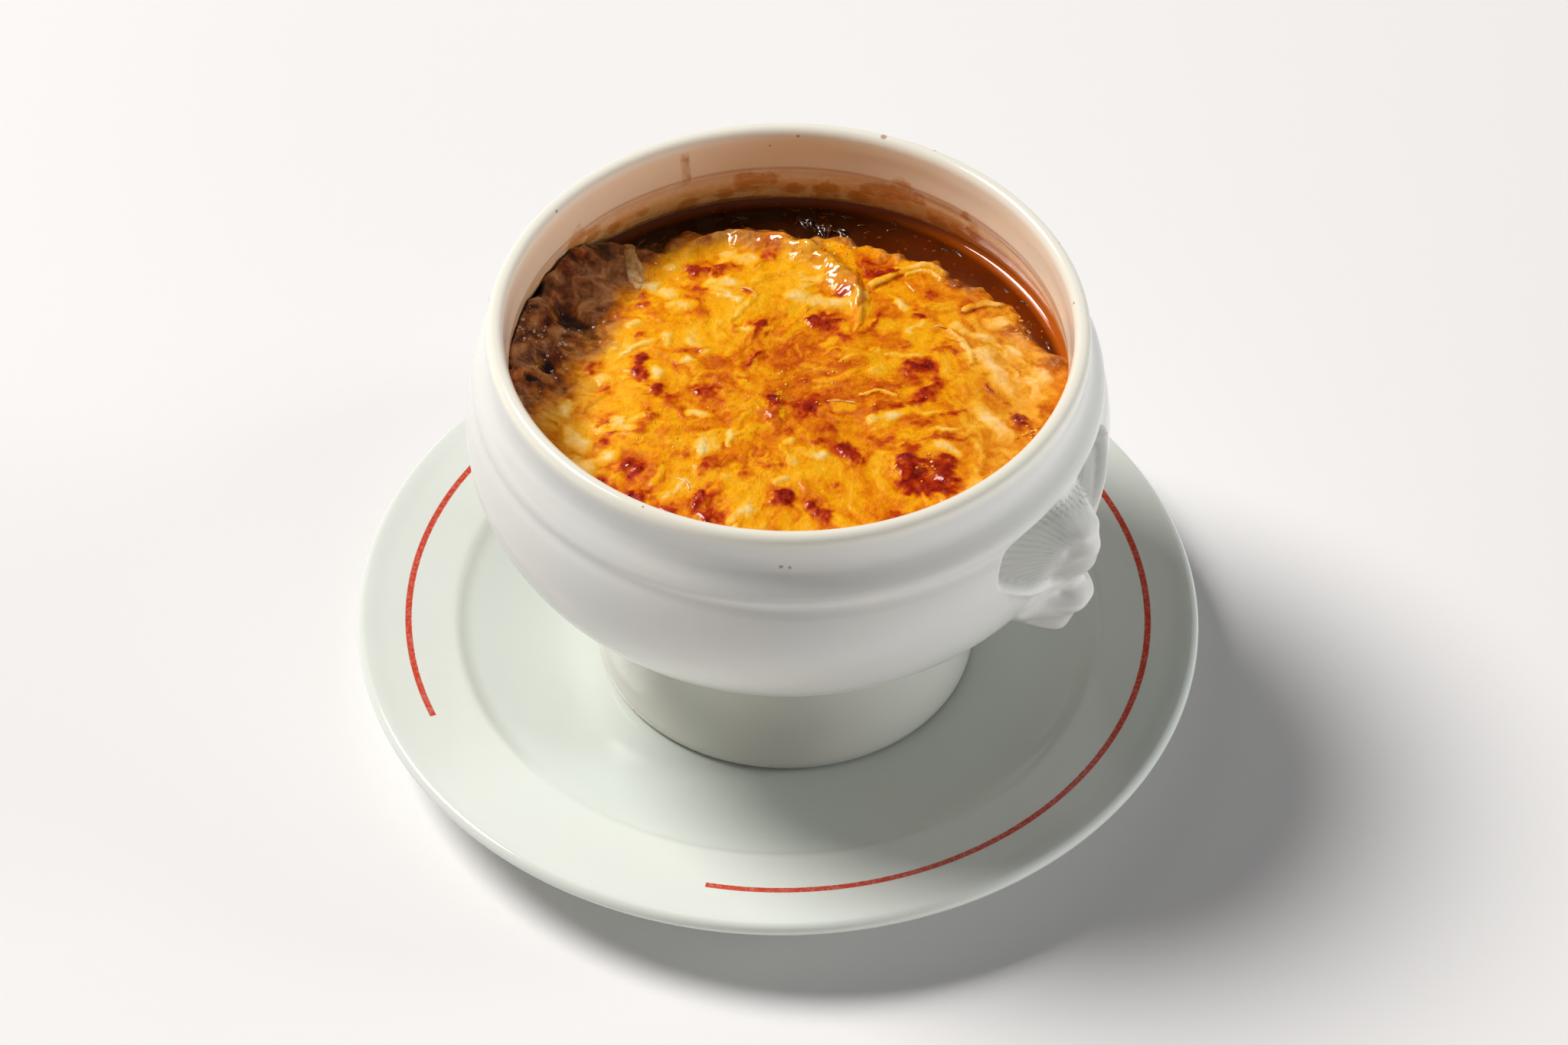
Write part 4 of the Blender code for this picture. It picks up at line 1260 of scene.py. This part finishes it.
class SOUP_OT_strings(bpy.types.Operator):
    """Lays the loose strings of cheese on the cap"""
    bl_idname = "soup.strings"
    bl_label = "Cheese strings"

    def execute(self, context):
        wish = context.scene.soup_cheese
        model = strand_model()
        shapes = []
        for wide, high, places in STRINGS:
            x, y = np.array(places).T
            z = np.maximum(on_cap(wish, x, y), LEVEL + 0.3) + 0.1 * high
            shapes.append(bent(model, to_world(np.column_stack([x, y, z])), wide, high))
        piece = copies("cheese_strings", model, shapes)
        look = Look("string_cheese", Subsurface_Weight=0.2, Subsurface_Radius=(1.0, 0.5, 0.2),
                    Subsurface_Scale=0.001, Specular_IOR_Level=0.4, Coat_Roughness=0.1)
        mottle = look.grain(1.6, 4.0, 0.6, 0.5)
        gold = look.ramp(mottle, [(0.34, tone(228, 146, 52)), (0.50, tone(246, 188, 100)),
                                  (0.66, tone(252, 212, 146))])
        brown = look.ramp(mottle, [(0.36, tone(188, 132, 78)), (0.50, tone(222, 172, 110)),
                                   (0.62, tone(240, 200, 140))])
        look.feed("Base Color", look.mix(look.along(0).ease(-20.0, -28.0), gold, brown))
        look.feed("Roughness", 0.25 + 0.2 * mottle)
        look.feed("Coat Weight", 0.25)
        look.relief((mottle, 0.07))
        done(piece, look, "browned_cheese")
        return {"FINISHED"}


ONIONS = 26                 # strands over the deep broth, and as many along the wall
ONION_SEED = 31
OPEN_RADIUS = 57.8          # how far out the open broth reaches


def curl(x, y, long, lean, bend, shares, heights):
    """A line of places that curls away from x, y, at the given heights."""
    return [(x + long * s * math.cos(lean + bend * s), y + long * s * math.sin(lean + bend * s), z)
            for s, z in zip(shares, heights)]


class SOUP_OT_onions(bpy.types.Operator):
    """Floats thin strands of onion in the open broth"""
    bl_idname = "soup.onions"
    bl_label = "Onions"

    def execute(self, context):
        dice = np.random.default_rng(ONION_SEED)
        model = strand_model(10, 6)
        shapes = []
        for _ in range(ONIONS):
            share = dice.random()
            x = 0.5 + 10.5 * share + dice.normal(0, 0.5)
            y = 54.6 - 4.5 * share + dice.normal(0, 1.1)
            long, lean = dice.uniform(1.6, 5.4), math.radians(dice.normal(-54.0, 16.0))
            bow = dice.normal(0.0, 0.5)
            shares = (0.0, 0.33, 0.66, 1.0)
            heights = [LEVEL - 0.1 + 0.55 * math.sin(math.pi * min(1.0, s + 0.12))
                       * dice.uniform(0.3, 1.1) for s in shares]
            path = curl(x, y, long, lean, bow, shares, heights)
            shapes.append(bent(model, to_world(path), dice.uniform(0.12, 0.30),
                               dice.uniform(0.12, 0.22)))
        for _ in range(ONIONS):
            turn, reach = math.radians(dice.uniform(14.0, 140.0)), dice.uniform(54.0, 57.6)
            lean = turn + math.pi / 2 + dice.normal(0, 0.35)
            long = dice.uniform(1.5, 4.5)
            shares = (-0.5, -0.17, 0.17, 0.5)
            heights = [LEVEL + 0.02 + 0.10 * math.sin(3.0 * s) for s in shares]
            path = curl(reach * math.cos(turn), reach * math.sin(turn), long, lean, 0.3, shares,
                        heights)
            path = [(px * min(1.0, OPEN_RADIUS / math.hypot(px, py)),
                     py * min(1.0, OPEN_RADIUS / math.hypot(px, py)), pz) for px, py, pz in path]
            shapes.append(bent(model, to_world(path), dice.uniform(0.18, 0.42),
                               dice.uniform(0.10, 0.18)))
        piece = copies("onion_strands", model, shapes)
        look = Look("onion_brown", Specular_IOR_Level=0.6, Coat_Roughness=0.03)
        mottle = look.grain(1.2, 4.0, 0.6, 0.4)
        look.feed("Base Color", look.ramp(mottle, [(0.38, tone(34, 12, 3)), (0.54, tone(76, 34, 9)),
                                                   (0.70, tone(132, 78, 34))]))
        look.feed("Roughness", 0.16 + 0.15 * mottle)
        look.feed("Coat Weight", 0.45)
        look.relief((mottle, 0.12))
        done(piece, look, "broth")
        return {"FINISHED"}


# Groups of beads: middle x and y, spread, how many, and the smallest and largest radius
DROPS = [(-2, -3, 9.0, 70, 0.12, 0.34), (14, 4, 10.0, 40, 0.12, 0.3),
         (-24, -12, 11.0, 40, 0.1, 0.28), (28, -22, 3.4, 16, 0.2, 0.5), (9, 40, 6.0, 26, 0.15, 0.4),
         (50, -12, 3.0, 16, 0.25, 0.6), (-46, -10, 4.5, 8, 0.12, 0.3), (48, 22, 5.0, 26, 0.15, 0.4),
         (-52, 10, 7.0, 70, 0.12, 0.45), (-51, 8, 9.0, 26, 0.14, 0.40),
         (-30, 38, 5.0, 14, 0.14, 0.40)]
DROPS_RADIUS = 57.5         # beads further out than this would be in the wall
DROPS_HEIGHT = 0.55         # their height as a share of their width
DROPS_SEED = 77


class SOUP_OT_drops(bpy.types.Operator):
    """Scatters beads of melted fat over the cheese and the broth; those at the left are painted
    pale as glints
    """
    bl_idname = "soup.drops"
    bl_label = "Drops of fat"

    def execute(self, context):
        wish = context.scene.soup_cheese
        dice = np.random.default_rng(DROPS_SEED)
        model = drop_model()
        ball = points_of(model)
        spots = [(middle_x + dice.normal(0, spread * 0.6), middle_y + dice.normal(0, spread * 0.6),
                  low + (high - low) * dice.random() ** 2)
                 for middle_x, middle_y, spread, count, low, high in DROPS for _ in range(count)]
        x, y, size = np.array([q for q in spots if math.hypot(q[0], q[1]) < DROPS_RADIUS]).T
        z = np.maximum(on_cap(wish, x, y), LEVEL)
        shapes = [to_world(ball * (s, s, DROPS_HEIGHT * s) + (a, b, c))
                  for a, b, c, s in zip(x, y, z, size)]
        piece = copies("fat_drops", model, shapes, 180.0)
        look = Look("melted_fat_and_painted_glints", Roughness=0.08, IOR=1.47, Specular_IOR_Level=0.7,
                    Coat_Weight=0.8, Coat_Roughness=0.02)
        fat = look.ramp(look.grain(2.5), [(0.38, tone(206, 106, 4)), (0.52, tone(244, 170, 14)),
                                          (0.64, tone(252, 214, 90))])
        # Painted highlight: the beads at the left are pale, to stand for small white glints
        look.feed("Base Color", look.mix(look.along(0).ease(-36.0, -43.0), fat,
                                         tone(214, 186, 164)))
        done(piece, look, "browned_cheese")
        return {"FINISHED"}


# --------------------------------------------------------------- stage

WARM, COOL = (1.0, 0.985, 0.96), (0.93, 0.97, 1.0)
# Name, azimuth and elevation in degrees, size in metres, share of the power, colour
LIGHTS = (("window_soft", 155.0, 51.0, 1.55, 1.0, WARM),
          ("room_front", 300.0, 16.0, 1.9, 0.10, WARM),
          ("room_right", 2.0, 9.0, 1.3, 0.42, COOL))
LIGHT_DISTANCE = 3.6
LIGHT_AIM = Vector((0.0, 0.0, 0.05))
CAMERA_PLACE = (1.0, -784.9, 855.4)
CAMERA_ELEVATION = math.radians(45.98)
CAMERA_ROLL = 0.0129
CAMERA_LENS = 123.05


class SOUP_OT_stage(bpy.types.Operator):
    """Sets the floor, the soft light and the camera"""
    bl_idname = "soup.stage"
    bl_label = "Stage"

    def execute(self, context):
        wish = context.scene.soup_stage
        clear_selection()
        bpy.ops.mesh.primitive_plane_add(size=8.0, location=(0.0, 0.0, 0.0))
        floor = named("floor")
        look = Look("floor_pale", Roughness=0.7, Specular_IOR_Level=0.2, Base_Color=wish.floor)
        floor.data.materials.append(look.material)
        for light in LIGHTS:
            self.light(wish.key_power, *light)
        world = bpy.data.worlds.new("soft_room")
        context.scene.world = world
        world.use_nodes = True
        background = world.node_tree.nodes["Background"]
        background.inputs["Color"].default_value = (1.0, 0.97, 0.965, 1.0)
        background.inputs["Strength"].default_value = wish.fill
        context.scene.view_settings.view_transform = "Standard"
        self.camera(context)
        return {"FINISHED"}

    def light(self, power, name, azimuth, elevation, size, share, colour):
        """A round soft light aimed at the bowl; only the window shows in the glaze."""
        turn, lift = math.radians(azimuth), math.radians(elevation)
        away = Vector((math.cos(turn) * math.cos(lift), math.sin(turn) * math.cos(lift),
                       math.sin(lift)))
        bpy.ops.object.light_add(type="AREA", location=away * LIGHT_DISTANCE + LIGHT_AIM)
        lamp = named(name)
        lamp.data.shape = "DISK"
        lamp.data.size = size
        lamp.data.energy = share * power
        lamp.data.color = colour
        lamp.visible_glossy = name == "window_soft"
        lamp.rotation_euler = away.to_track_quat("Z", "Y").to_euler()

    def camera(self, context):
        """Looks down at the bowl from in front, rolled by a trace."""
        sine, cosine = math.sin(CAMERA_ELEVATION), math.cos(CAMERA_ELEVATION)
        sideways, upward = np.array([1.0, 0.0, 0.0]), np.array([0.0, sine, cosine])
        right = math.cos(CAMERA_ROLL) * sideways + math.sin(CAMERA_ROLL) * upward
        up = math.cos(CAMERA_ROLL) * upward - math.sin(CAMERA_ROLL) * sideways
        back = (0.0, -cosine, sine)
        bpy.ops.object.camera_add(location=(0.0, 0.0, 0.0))
        camera = named("camera")
        camera.data.sensor_width = 36.0
        camera.data.lens = CAMERA_LENS
        camera.data.clip_start = 0.01
        camera.matrix_world = Matrix([[right[i], up[i], back[i], CAMERA_PLACE[i] * MM]
                                      for i in range(3)] + [[0.0, 0.0, 0.0, 1.0]])
        context.scene.camera = camera


class SOUP_PT_panel(bpy.types.Panel):
    """Lists the steps of the soup in the order that they are made"""
    bl_label = "Onion Soup"
    bl_idname = "SOUP_PT_panel"
    bl_space_type = "VIEW_3D"
    bl_region_type = "UI"
    bl_category = "Soup"

    def draw(self, context):
        for step in STEPS:
            self.layout.operator(step.bl_idname)
        for group in GROUPS:
            box = self.layout.box()
            box.label(text=group[5:].title())
            settings = getattr(context.scene, group)
            for name in settings.bl_rna.properties.keys():
                if name not in ("rna_type", "name"):
                    box.prop(settings, name)


STEPS = (SOUP_OT_stage, SOUP_OT_saucer, SOUP_OT_bowl, SOUP_OT_broth, SOUP_OT_cheese,
         SOUP_OT_strings, SOUP_OT_onions, SOUP_OT_drops)
GROUPS = {"soup_stage": StageSettings, "soup_saucer": SaucerSettings, "soup_bowl": BowlSettings,
          "soup_broth": BrothSettings, "soup_cheese": CheeseSettings}


def register():
    for made in (*GROUPS.values(), *STEPS, SOUP_PT_panel):
        bpy.utils.register_class(made)
    for name, group in GROUPS.items():
        setattr(bpy.types.Scene, name, PointerProperty(type=group))


def unregister():
    for name in GROUPS:
        delattr(bpy.types.Scene, name)
    for made in (SOUP_PT_panel, *reversed(STEPS), *reversed(list(GROUPS.values()))):
        bpy.utils.unregister_class(made)


def main():
    register()
    for step in STEPS:
        group, action = step.bl_idname.split(".")
        getattr(getattr(bpy.ops, group), action)()


if __name__ == "__main__":
    main()
